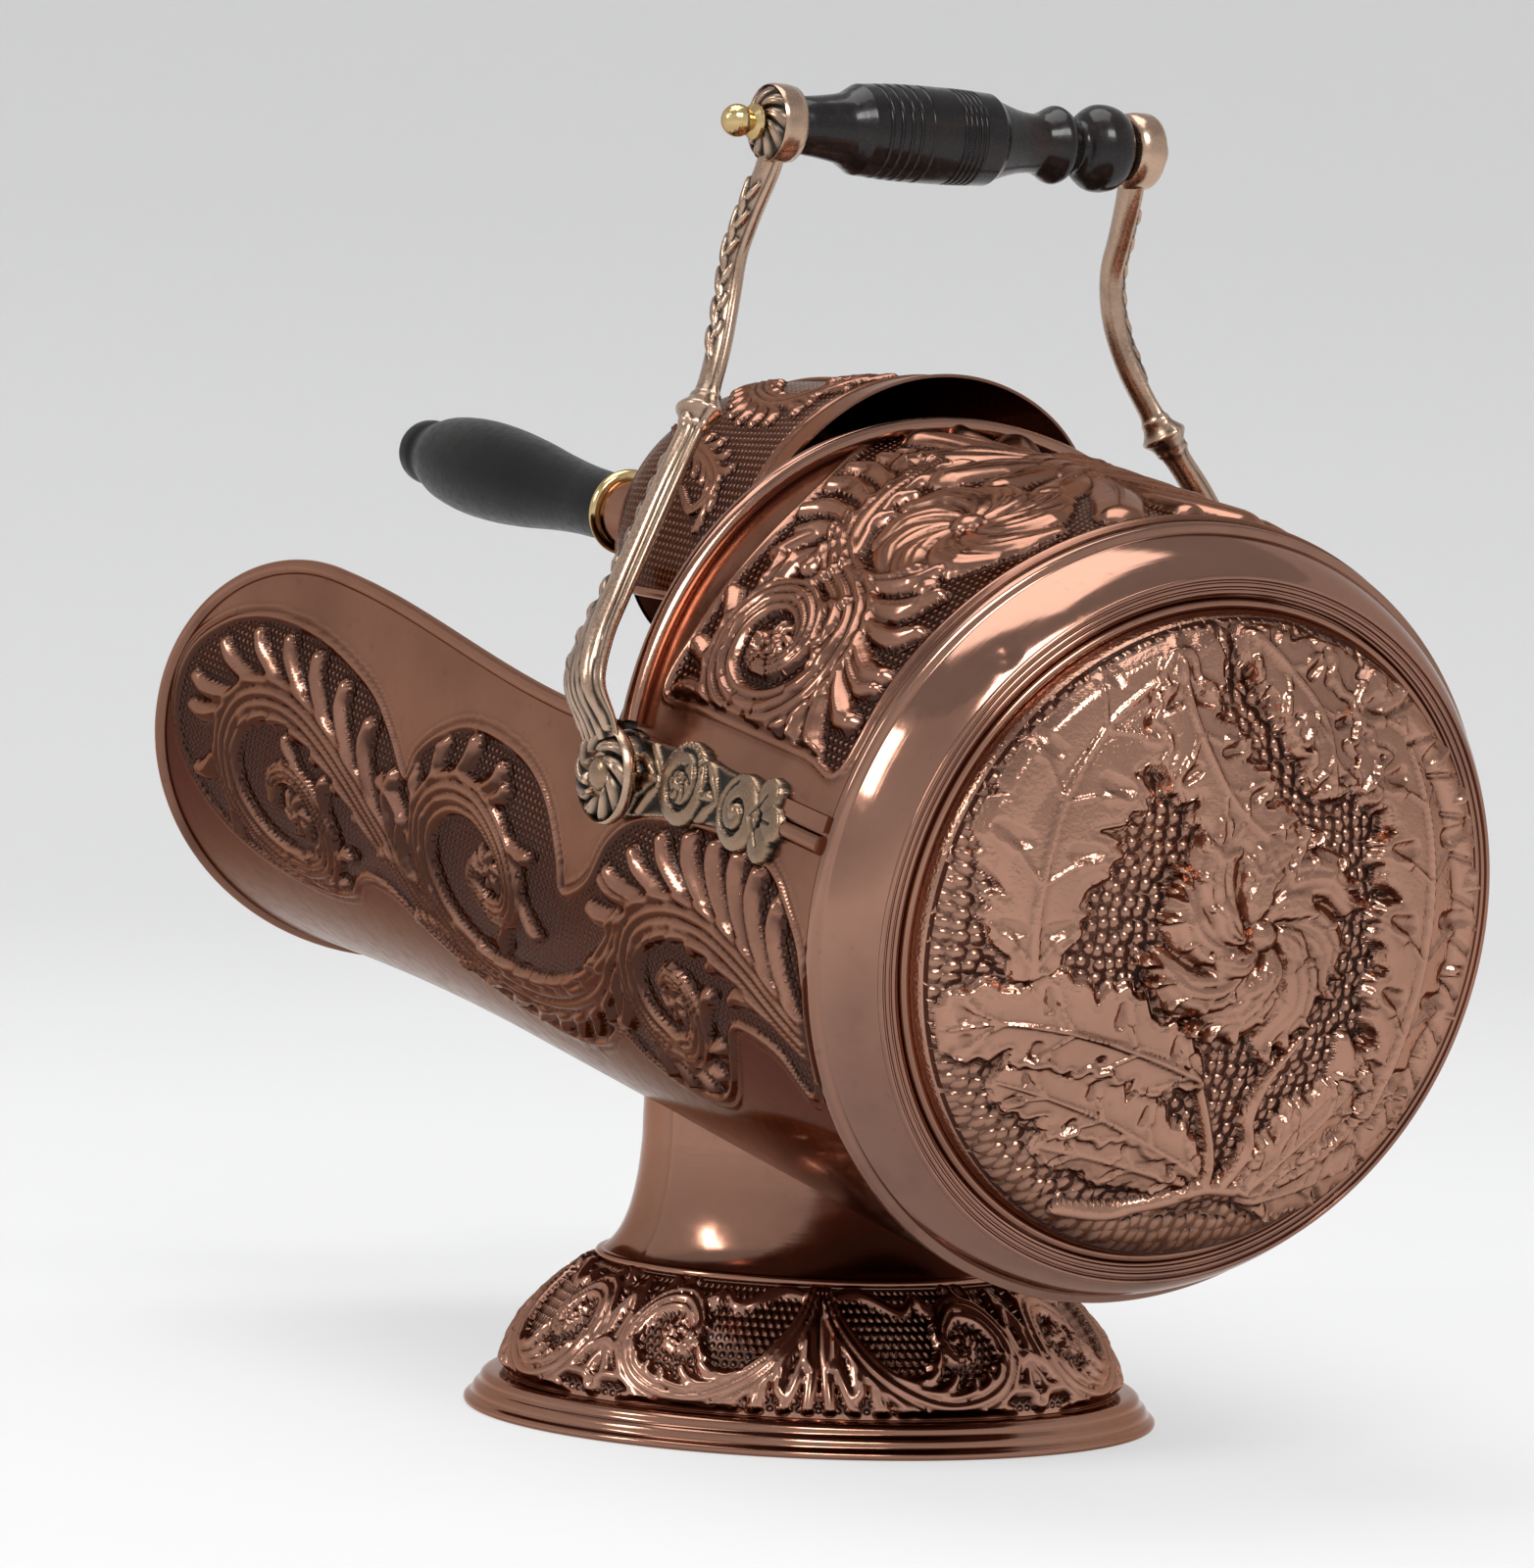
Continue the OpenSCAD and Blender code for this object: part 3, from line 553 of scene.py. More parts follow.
def frond(relief, stem, half_width, height, ridges=3):
    """A stem of parallel ridges that narrow with it."""
    line = smooth_line(stem, 8)
    wide = np.atleast_1d(half_width).astype(float)
    relief.stroke(line, half_width, height, "body", 0.45, 1)
    for k in range(ridges):
        at = (2 * (k + 0.5) / ridges - 1)
        relief.stroke(beside(line, at * wide), wide / ridges * 0.95, np.max(height) * 0.5, "lines", 0.8, 1)


NOTCH, LEAN, RIM = 0.38, 0.45, 1.7  # depth between lobes, forward lean of a lobe, rounding of the edge


def leaf(relief, midrib, half_width, lobes, height, veins):
    """An oak leaf: lobed outline, raised midrib and a vein to each lobe."""
    line = smooth_line(midrib, 10)
    n = 26 * lobes
    sides = []
    for side in (1, -1):
        edge = []
        for k in range(n + 1):
            t = k / n
            swell = math.sin(math.pi * min(t * 0.94 + 0.04, 1)) ** 0.6
            notch = abs(math.sin(math.pi * lobes * t)) ** 0.7
            where, way = along_line(line, t)
            off = side * np.array([-way[1], way[0]])
            wide = half_width * swell * (1 - NOTCH + NOTCH * notch)
            wavy = 0.06 * half_width * math.sin(7 * math.pi * lobes * t + side)
            edge.append(where + off * (wide + wavy) + way * (notch * LEAN * half_width * 0.45))
        sides.append(edge)
    outline = np.array(sides[0] + sides[1][::-1])
    near = relief.reach(outline, 1.0)
    relief.lines[near] *= ~relief.inside(outline, near)
    relief.patch(outline, height, RIM)
    relief.stroke(np.vstack([outline, outline[:1]]), RIM, 0.42 * height, "lines", 0.7, 1)
    relief.stroke(line, [1.9, 1.4, 0.8], [veins * 1.3, veins, veins * 0.5], "lines", 0.8, 1)
    for side in (1, -1):
        for k in range(lobes):
            at = (k + 0.5) / lobes
            where, way = along_line(line, max(at - 0.35 / lobes, 0))
            tip, way_there = along_line(line, at)
            swell = math.sin(math.pi * min(at * 0.94 + 0.04, 1)) ** 0.6
            off = side * np.array([-way_there[1], way_there[0]])
            end = tip + off * half_width * swell * 0.8 + way_there * LEAN * half_width * 0.45
            relief.stroke([where, (where + end) / 2 + way * 1.5, end], [1.1, 0.8, 0.5],
                          [veins * 0.8, veins * 0.6, 0.1], "lines", 0.8)
            relief.stroke([where * 0.4 + end * 0.6, end * 0.9 + where * 0.1],
                          [half_width * 0.20, half_width * 0.22], height * 1.25, "body", 0.9, 3)
            trough_at = (where * 0.55 + end * 0.45) + way_there * half_width * 0.28
            relief.stroke([trough_at, trough_at * 0.3 + end * 0.7], half_width * 0.13, -0.35 * height,
                          "lines", 0.9, 3)


print("leaf punches ready")

# %% [markdown]
# ## Sheets from grids
# Every embossed piece is a sheet with two faces: the outside carries the
# relief on a fine grid, the plain inside needs one row in three of it. Both
# are joined round the rim, so each piece is a closed solid. Two attributes
# travel with the mesh: `ground`, where the background is pearled, and
# `hollow`, how deep a point lies below what surrounds it, for the patina.

# %% Sheet builder
INNER_STEP = 3


def add_piece(mesh, body, replaces=(), finishes=()):
    """Puts a mesh in the scene as a piece of a body, in place of its solid."""
    piece = bpy.data.objects.new(mesh.name, mesh)
    bpy.context.scene.collection.objects.link(piece)
    for finish in finishes:
        if finish.name not in mesh.materials:
            mesh.materials.append(finish)
    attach(piece, body)
    if replaces:
        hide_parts(*replaces)
    return piece


def paint_points(mesh, **values):
    """Gives each point of a mesh named numbers or vectors, for the finishes."""
    for name, data in values.items():
        if np.ndim(data) == 2:
            mesh.attributes.new(name, "FLOAT_VECTOR",
                                "POINT").data.foreach_set("vector", np.ravel(data).astype(np.float32))
        else:
            mesh.attributes.new(name, "FLOAT",
                                "POINT").data.foreach_set("value", np.ravel(data).astype(np.float32))


def sheet_mesh(name, outer, inner, wrap=False):
    """A closed sheet from two grids of points, in mm; the inner grid has every third row and column."""
    n, m = outer.shape[:2]
    n2, m2 = inner.shape[:2]
    step = INNER_STEP
    base = n * m
    O = lambda i, j: i * m + j % m
    I = lambda i, j: base + i * m2 + j % m2
    i, j = np.meshgrid(np.arange(n - 1), np.arange(m if wrap else m - 1), indexing="ij")
    i, j = i.ravel(), j.ravel()
    faces = np.stack([O(i, j), O(i + 1, j), O(i + 1, j + 1), O(i, j + 1)], 1).tolist()
    i, j = np.meshgrid(np.arange(n2 - 1), np.arange(m2 if wrap else m2 - 1), indexing="ij")
    i, j = i.ravel(), j.ravel()
    faces += np.stack([I(i, j), I(i, j + 1), I(i + 1, j + 1), I(i + 1, j)], 1).tolist()
    for k in range(m2 if wrap else m2 - 1):
        faces.append([O(0, k * step + q) for q in range(step + 1)] + [I(0, k + 1), I(0, k)])
        faces.append([O(n - 1, k * step + q) for q in range(step, -1, -1)] + [I(n2 - 1, k), I(n2 - 1, k + 1)])
    if not wrap:
        for k in range(n2 - 1):
            faces.append([O(k * step + q, 0) for q in range(step, -1, -1)] + [I(k, 0), I(k + 1, 0)])
            faces.append([O(k * step + q, m - 1) for q in range(step + 1)] + [I(k + 1, m2 - 1), I(k, m2 - 1)])
    middle = (n // 2 // step * step, m // 2 // step * step)
    across = np.cross(outer[middle[0] + 1, middle[1]] - outer[middle],
                      outer[middle[0], middle[1] + 1] - outer[middle])
    if across @ (outer[middle] - inner[middle[0] // step, middle[1] // step]) < 0:
        faces = [face[::-1] for face in faces]
    mesh = bpy.data.meshes.new(name)
    mesh.from_pydata(np.vstack([outer.reshape(-1, 3), inner.reshape(-1, 3)]) * 0.001, [], faces)
    mesh.shade_smooth()
    mesh.set_sharp_from_angle(angle=math.radians(60))
    return mesh


def embossed(name, surface, out, relief, ground, thickness=SHEET, wrap=False, sink=0.0, blur=5, patina=1.0):
    """The sheet whose outside is surface + out * relief, with its patina and ground painted on."""
    height = relief.total()
    outer = surface + out * (height - sink)[..., None]
    inner = (surface - out * (thickness + sink))[::INNER_STEP, ::INNER_STEP]
    mesh = sheet_mesh(name, outer, inner, wrap)
    hollow = patina * np.clip((blurred(height, blur, wrap) - height) * 0.9 + 0.12 + 0.25 * ground, 0, 1)
    spare = inner.shape[0] * inner.shape[1]
    place = np.stack([relief.u, relief.v, np.zeros_like(relief.u)], -1).reshape(-1, 3)
    inside = place.reshape(*relief.u.shape, 3)[::INNER_STEP, ::INNER_STEP].reshape(-1, 3)
    paint_points(mesh, sheet_place=np.vstack([place, inside]) * 0.001,
                 ground=np.r_[ground.ravel(), np.zeros(spare)],
                 hollow=np.r_[hollow.ravel(), np.full(spare, 0.6)])
    print(name, len(mesh.polygons), "faces, relief up to", round(float(height.max()), 1), "mm")
    return mesh


def spaced(stops, spacing):
    """Rising values from the first stop to the last, with their own spacing between each two."""
    out = [np.linspace(a, b, max(int(round(abs(b - a) / gap)), 1), endpoint=False)
           for a, b, gap in zip(stops, stops[1:], spacing)]
    values = np.concatenate(out + [[stops[-1]]])
    extra = -(len(values) - 1) % INNER_STEP
    return np.interp(np.linspace(0, len(values) - 1, len(values) + extra), np.arange(len(values)), values)

# %% [markdown]
# ## The trough
# The body of the scuttle is one sheet bent round the drum, cut high at the
# back and low at the spout. On the real one each side carries a long shaped
# panel: a raised line, a pearled ground and a running acanthus scroll that
# turns over, under and over again. The layout below is in millimetres along
# the drum and round it (zero at the height of the axis).

# %% Layout of one side panel
PANEL_LINE = [(0, -30), (4, -14), (14, -2), (26, 8), (45, 13), (70, 14), (100, 11), (128, 5), (148, -8),
              (162, -26), (175, -35), (187, -38), (188, -25), (194, -10), (205, 1), (222, 8), (248, 11),
              (270, 9), (292, 0), (308, -11), (318, -23), (330, -9), (347, 4), (372, 12), (400, 17),
              (430, 18), (455, 15), (480, 7), (505, -8), (520, -28), (525, -52), (516, -76), (496, -94),
              (468, -103), (435, -105), (405, -99), (388, -87), (372, -81), (352, -84), (330, -97),
              (300, -111), (262, -119), (225, -119), (195, -110), (176, -98), (165, -93), (152, -103),
              (130, -109), (100, -105), (82, -94), (70, -78), (60, -60), (42, -58), (24, -62), (9, -74),
              (0, -62)]
# each scroll's stem, from its root to its eye
FIRST_SCROLL = [(-4, -52), (20, -42), (45, -31), (75, -24), (105, -27), (128, -39), (138, -58), (132, -76),
                (114, -84), (96, -80), (87, -67), (91, -54), (103, -50), (112, -56)]
SECOND_SCROLL = [(136, -36), (150, -54), (172, -74), (205, -90), (240, -98), (275, -96), (300, -81),
                 (309, -57), (302, -34), (280, -20), (254, -19), (235, -31), (230, -48), (239, -61),
                 (255, -62), (264, -53), (259, -44)]
THIRD_SCROLL = [(292, -104), (318, -86), (340, -60), (368, -37), (400, -21), (430, -16), (460, -23),
                (480, -43), (483, -68), (467, -88), (440, -94), (414, -86), (402, -70), (407, -54),
                (424, -46), (441, -51), (446, -64)]


def knop(relief, centre, radius, height=3.0, petals=6, turn=0.0):
    """The small flower at the heart of a scroll."""
    centre = np.array(centre, float)
    for k in range(petals):
        a = turn + 2 * math.pi * k / petals
        tip = centre + radius * np.array([math.cos(a), math.sin(a)])
        bend = centre + radius * 0.6 * np.array([math.cos(a - 0.4), math.sin(a - 0.4)])
        relief.stroke([centre, bend, tip], [radius * 0.16, radius * 0.3, radius * 0.26],
                      [height * 0.7, height, height * 0.7], "body", 0.6, 4)
    relief.stroke([centre, centre + [0.1, 0.1]], radius * 0.3, height * 1.3, "body", 0.6, 1)


def draw_side_panel(relief):
    """u runs along the drum from its back edge, v round it from the height of the axis."""
    outline = smooth_line(PANEL_LINE + PANEL_LINE[:1], 5)
    # first scroll, with the big leaf that springs from the back ring
    frond(relief, FIRST_SCROLL, [9, 10, 10.5, 10, 10, 10, 9.5, 9, 8, 7, 6, 5, 4], [1.6, 2.4, 2.8, 2.4], 4)
    fingers(relief, FIRST_SCROLL, 0.00, 0.40, 8, 1, [46, 50, 50, 46, 44, 44, 46], [5.2, 6.0, 5.8, 5.2, 5.0],
            [3.4, 3.6, 3.0], [1.3, 1.15, 0.8, 0.55, 0.4], 3)
    fingers(relief, FIRST_SCROLL, 0.42, 0.64, 5, 1, [44, 38, 32], 5.2, 3.0, [0.4, 0.5, 0.6], 4)
    fingers(relief, FIRST_SCROLL, 0.67, 0.86, 5, 1, [28, 24, 20], 4.6, 3.0, 0.5, 4)
    fingers(relief, FIRST_SCROLL, 0.06, 0.32, 5, -1, [42, 38, 32], [4.6, 4.2], 2.6, [0.5, 0.4], 5)
    fingers(relief, FIRST_SCROLL, 0.40, 0.76, 6, -1, [20, 16], 3.6, 2.6, 0.4, 5)
    knop(relief, (104, -62), 9)
    # second scroll, which turns the other way
    frond(relief, SECOND_SCROLL, [6, 8, 10, 11, 11, 10.5, 10, 10, 10, 9.5, 9, 8, 7, 6, 5, 4],
          [1.8, 2.6, 2.8, 2.4], 4)
    fingers(relief, SECOND_SCROLL, 0.04, 0.36, 8, -1, [36, 40, 42], [4.6, 5.0], 2.8, 0.5, 4)
    fingers(relief, SECOND_SCROLL, 0.02, 0.30, 7, 1, [38, 36, 32], [4.2], 2.6, 0.35, 4)
    fingers(relief, SECOND_SCROLL, 0.40, 0.72, 8, -1, [46, 44, 40, 36, 32], [5.6, 5.4, 5.0], [3.4, 3.2],
            [0.8, 0.7, 0.6], 4)
    fingers(relief, SECOND_SCROLL, 0.34, 0.60, 6, 1, [30, 24], [4.2], 2.6, 0.4, 5)
    fingers(relief, SECOND_SCROLL, 0.74, 0.90, 4, -1, [26, 20], 4.2, 3.0, 0.6, 4)
    knop(relief, (249, -45), 9)
    # third scroll, under the spout
    frond(relief, THIRD_SCROLL, [7, 9, 10, 10.5, 10.5, 10.5, 10, 10, 9.5, 9, 8, 7, 6, 5, 4],
          [1.8, 2.6, 2.8, 2.4], 4)
    fingers(relief, THIRD_SCROLL, 0.06, 0.46, 9, 1, [40, 44, 44, 42, 44], [5.8, 5.6, 5.0], [3.4, 3.0],
            [1.1, 0.8, 0.5, 0.5], 4)
    fingers(relief, THIRD_SCROLL, 0.48, 0.72, 6, 1, [42, 36, 30], 5.0, 3.0, [0.45, 0.6], 4)
    fingers(relief, THIRD_SCROLL, 0.12, 0.38, 6, -1, [40, 36, 30], [4.8, 4.2], 2.6, [0.5, 0.5], 5)
    fingers(relief, THIRD_SCROLL, 0.42, 0.76, 7, -1, [26, 18], 4.0, 2.6, 0.4, 5)
    fingers(relief, THIRD_SCROLL, 0.76, 0.90, 4, 1, [24, 18], 4.2, 3.0, 0.6, 4)
    knop(relief, (427, -66), 10)
    near = relief.reach(outline, 2)
    inside = np.zeros(relief.u.shape)
    inside[near] = relief.inside(outline, near)
    # the finger tips stop at the raised line
    edge = np.zeros(relief.u.shape)
    gap, _ = relief.distance(outline, near)
    edge[near] = np.clip((gap - 1.5) / 3.0, 0, 1)
    relief.scale(inside * edge)
    ground = inside * (relief.total() < 0.35) * (edge > 0.3)
    relief.body -= 0.5 * inside * edge
    relief.stroke(outline, 1.7, 1.5, "lines", 0.7, 1)
    relief.stroke(beside(outline, 4.2), 0.8, 0.4, "lines", 0.8, 1)
    return ground

print("side panel:", len(PANEL_LINE), "points round it")

# %% [markdown]
# ### The sheet itself
# The trough's edge runs straight beside the hood, climbs a little past it
# and then sweeps down round the lip of the spout. A grid of rows from the
# back to that edge, and of columns from the belly to the rim, lets the same
# drawing be bent round the drum. Each half is one grid, and the two meet
# along the belly.

# %% Trough halves
CLIMB_START, CLIMB_END, CLIMB = 200, 390, 3.8
LIP_CURVE = [(404, 16.5), (500, 16), (575, -12), (572, -90)]  # along the drum in mm, and round it in degrees
FINE, COARSE = 1.15, 4.5  # spacing of the grid in mm where there is relief and where there is none
HALF_GIRTH = 262  # from the belly to the rim, in mm


def trough_edge(along):
    """Angle of the trough's side edge above the axis, in degrees."""
    rise = np.clip((np.asarray(along, float) - CLIMB_START) / (CLIMB_END - CLIMB_START), 0, 1)
    return math.degrees(math.asin(SEAM_V / DRUM_R)) + CLIMB * rise ** 2 * (3 - 2 * rise)


def cubic(p, t):
    """Points of a Bezier curve at the shares t of its length."""
    p, t = np.asarray(p, float), np.asarray(t, float)[:, None]
    return (1 - t) ** 3 * p[0] + 3 * t * (1 - t) ** 2 * p[1] + 3 * t ** 2 * (1 - t) * p[2] + t ** 3 * p[3]


LIP = cubic(LIP_CURVE, np.linspace(0, 1, 121))
CORNER = 50  # the point of the lip where the side edge ends and the spout's begins
SIDE = np.arange(0, 395, 6.0)
TOP_ALONG = np.r_[SIDE, LIP[:CORNER + 1, 0]]
TOP_ANGLE = np.r_[trough_edge(SIDE), LIP[:CORNER + 1, 1]]


def trough_half(name, side):
    """Half of the trough, from the middle of its belly to its rim."""
    corner_along, corner_angle = LIP[CORNER]
    t = spaced([0, 1], [FINE / corner_along])
    q = spaced([0, 0.43, 1], [COARSE / HALF_GIRTH, FINE / HALF_GIRTH])
    t, q = np.meshgrid(t, q, indexing="ij")
    top = np.interp(t * corner_along, TOP_ALONG, TOP_ANGLE)
    end = np.interp(-90 + q * (corner_angle + 90), LIP[CORNER:, 1][::-1], LIP[CORNER:, 0][::-1])
    along, angle = t * end, np.radians(-90 + q * (top + 90))
    relief = Relief(along, angle * DRUM_R)
    ground = draw_side_panel(relief)
    out = side * np.cos(angle)[..., None] * ACROSS + np.sin(angle)[..., None] * UP
    surface = drum_place(0.0, 0.0, along) + out * body_radius(along)[..., None]
    mesh = embossed(name, surface, out, relief, ground)
    return add_piece(mesh, "scuttle", ["trough_sheet"], [pearled_copper])


trough_left = trough_half("trough_left", -1)
trough_right = trough_half("trough_right", 1)

# %% [markdown]
# ## The hood
# The hood's panel crosses over the top, so one layout serves both halves: a
# scroll of acanthus low on each side, a swirling flower above it, a plume up
# the front edge and large soft lobes that meet on the crown.

# %% Layout of half the hood
HOOD_LINE = [(5, 300), (5, 180), (5, 100), (5, 53), (30, 53), (70, 53), (110, 53), (136, 53), (137, 80),
             (139, 105), (142, 125), (147, 145), (156, 165), (166, 180), (178, 197), (186, 215), (190, 236),
             (190, 300)]
HOOD_STEM = [(112, 150), (103, 136), (88, 125), (70, 118), (55, 108), (47, 92), (50, 75), (65, 62), (88, 58),
             (108, 67), (115, 86), (108, 102), (92, 107), (76, 100), (70, 88), (78, 78), (92, 78), (97, 88)]
HOOD_PLUME = [(92, 132), (104, 148), (113, 165), (120, 182), (128, 198)]


def swirl(relief, centre, radius, petals, height=3.4, turn=0.0, way=1, cut=False):
    """A flower of curved double petals, all sweeping one way round."""
    centre = np.array(centre, float)

    def at(r, a):
        return centre + r * np.array([math.cos(a), math.sin(a)])
    for k in range(petals):
        a = turn + 2 * math.pi * k / petals
        size = radius * (1.0 if k % 2 else 0.88)
        path = [at(size * q, a + way * bend)
                for q, bend in ((0.10, 0.0), (0.34, 0.10), (0.60, 0.34), (0.82, 0.66), (0.98, 1.02))]
        wide = radius * 2.2 / petals
        relief.stroke(path, [wide * 0.2, wide * 0.55, wide * 0.95, wide, wide * 0.5],
                      [height * 0.5, height * 0.8, height, height * 1.1, height * 0.7], "body", 0.6, 5)
        line = smooth_line(path, 4)
        if cut:
            fingers(relief, path, 0.25, 0.9, 5, -way, [wide * 0.7, wide * 1.1, wide * 0.9], wide * 0.26,
                    height * 0.9, 0.7)
        for shift in (-0.45, 0.0, 0.45):
            relief.stroke(beside(line, [0, wide * shift, wide * shift * 0.7]),
                          [wide * 0.1, wide * 0.24, wide * 0.16], [0.2, height * 0.26, 0.1], "lines", 0.8, 1)
    relief.stroke([centre, centre + [0.1, 0]], radius * 0.17, height * 1.5, "body", 0.5, 1)


def draw_half_hood(relief):
    """u runs along the drum, v round it; the crown is at 236."""
    frond(relief, HOOD_STEM, [5, 8, 9, 10, 11, 11, 11, 11, 10.5, 10, 9.5, 9, 8, 7, 6, 5, 4, 3],
          [2.0, 2.6, 3.0, 2.6], 4)
    fingers(relief, HOOD_STEM, 0.18, 0.36, 7, -1, [40, 44, 46, 42, 34], [5.4, 6.0, 5.6], [3.4, 3.8, 3.2],
            [0.7, 0.5, 0.35], 2)
    fingers(relief, HOOD_STEM, 0.10, 0.26, 5, -1, [38, 42, 40], [4.6], [3.4], [1.2, 0.8], 2)
    fingers(relief, HOOD_STEM, 0.40, 0.66, 7, -1, [34, 32, 30], 4.8, 3.2, [0.45, 0.55], 4)
    fingers(relief, HOOD_STEM, 0.68, 0.84, 4, -1, [24, 20], 4.4, 3.2, 0.7, 4)
    fingers(relief, HOOD_STEM, 0.36, 0.70, 7, 1, [24, 18], 3.8, 2.8, 0.4, 5)
    fingers(relief, HOOD_STEM, 0.16, 0.28, 3, 1, [26, 22], 4.4, 3.2, 1.0, 4)
    knop(relief, (86, 88), 8, 3.2)
    frond(relief, HOOD_PLUME, [7, 8, 7, 5], [2.0, 2.8, 2.4], 3)
    fingers(relief, HOOD_PLUME, 0.0, 0.8, 6, -1, [26, 32, 34, 30, 24], [5.2, 5.4, 4.6], [3.6, 3.2],
            [1.5, 1.5, 1.3], 2)
    fingers(relief, HOOD_PLUME, 0.1, 0.8, 4, 1, [16, 18], 3.8, 2.8, 0.8, 3)
    for tip, root in (((118, 108), (103, 132)), ((128, 121), (110, 142)), ((104, 120), (98, 136))):
        relief.stroke([root, np.add(root, tip) / 2 + [3, 3], tip], [2.5, 5.0, 4.6], [2.4, 3.4, 4.2])
    swirl(relief, (57, 166), 41, 9, 3.6, 0.3, -1)
    # lobes of the crown
    for root, middle, tip, wide in (((80, 236), (48, 226), (18, 208), 12),
                                    ((86, 236), (70, 220), (58, 203), 12),
                                    ((95, 236), (90, 214), (83, 197), 10),
                                    ((104, 236), (108, 212), (108, 190), 12),
                                    ((114, 236), (128, 214), (138, 191), 11),
                                    ((122, 236), (146, 226), (166, 214), 11),
                                    ((60, 240), (36, 238), (14, 236), 9),
                                    ((130, 240), (152, 240), (178, 236), 9)):
        relief.stroke([root, middle, tip], [wide * 0.4, wide * 0.9, wide * 0.85], [3.2, 4.0, 5.0], "body",
                      0.75)
        relief.stroke([root, middle, tip], [1.4, 1.6, 0.8], [0.6, 0.9, 0.1], "lines", 0.8)
    relief.stroke([(70, 236), (100, 236), (130, 236)], [10, 14, 10], [3.6, 4.6, 3.6], "body", 0.7)
    outline = smooth_line(HOOD_LINE, 5)
    outline = np.vstack([outline, [[190, 400], [5, 400]]])
    near = np.ones(relief.u.shape, bool)
    inside = relief.inside(outline, near).reshape(relief.u.shape).astype(float)
    gap, _ = relief.distance(outline, near)
    edge = np.clip((gap.reshape(relief.u.shape) - 1.5) / 3.0, 0, 1)
    relief.scale(inside * edge)
    ground = inside * (relief.total() < 0.4) * (edge > 0.3)
    relief.body -= 0.6 * inside * edge
    relief.stroke(smooth_line(HOOD_LINE, 5), 1.9, 1.6, "lines", 0.7, 1)
    return ground

print("hood panel:", len(HOOD_LINE), "points round half of it")

# %% [markdown]
# ### The hood's sheet
# The hood is the upper half of the drum, cut by a plane that leans forward.
# Its grid runs over the crown from one side to the other, and the drawing
# is read by the distance from the nearer side, which mirrors it.

# %% Hood
HOOD_FRONT, HOOD_LEAN = 145, 0.29


def hood_front(up):
    """Where the hood's front edge lies along the drum, by its height above the axis."""
    return HOOD_FRONT + HOOD_LEAN * (up - SEAM_V)


def hood_piece():
    """The hood, as one grid over the crown."""
    first = math.asin(SEAM_V / DRUM_R)
    angle = spaced([first, math.pi - first], [1.0 / DRUM_R])
    t = spaced([0, 1], [1.0 / 168])
    t, angle = np.meshgrid(t, angle, indexing="ij")
    along = t * hood_front(DRUM_R * np.sin(angle))
    relief = Relief(along, DRUM_R * np.minimum(angle, math.pi - angle))
    ground = draw_half_hood(relief)
    out = np.cos(angle)[..., None] * ACROSS + np.sin(angle)[..., None] * UP
    mesh = embossed("hood", drum_place(0.0, 0.0, along) + out * DRUM_R, out, relief, ground)
    return add_piece(mesh, "scuttle", ["hood_sheet"], [pearled_copper])


hood = hood_piece()

# %% [markdown]
# ## The domed back
# The back is the showpiece: oak branches climb round both sides of a great
# swirling flower, over a ground of hammered pebbles. It is laid out as seen
# from behind, x to the right and y up from the dome's centre. The stems are
# strokes, the leaves are patches with lobed outlines, and the flower is the
# same swirl as on the hood, only larger.

# %% Layout of the dome
def acorn(relief, place, way, size=9.0):
    """A nut standing in its ribbed cup."""
    place, way = np.array(place, float), np.array(way, float) / np.linalg.norm(way)
    off = np.array([-way[1], way[0]])
    relief.stroke([place - way * size * 0.5, place - way * size * 0.2], size * 1.05, 4.6, "body", 0.6, 1)
    relief.stroke([place, place + way * size * 1.15], [size * 0.8, size * 0.45], [6.0, 5.0], "body", 0.6, 4)
    for k in range(-3, 4):
        start = place - way * size * 1.1 + off * k * size * 0.12
        relief.stroke([start, place + off * k * size * 0.30], size * 0.1, 0.8, "lines", 0.8, 3)


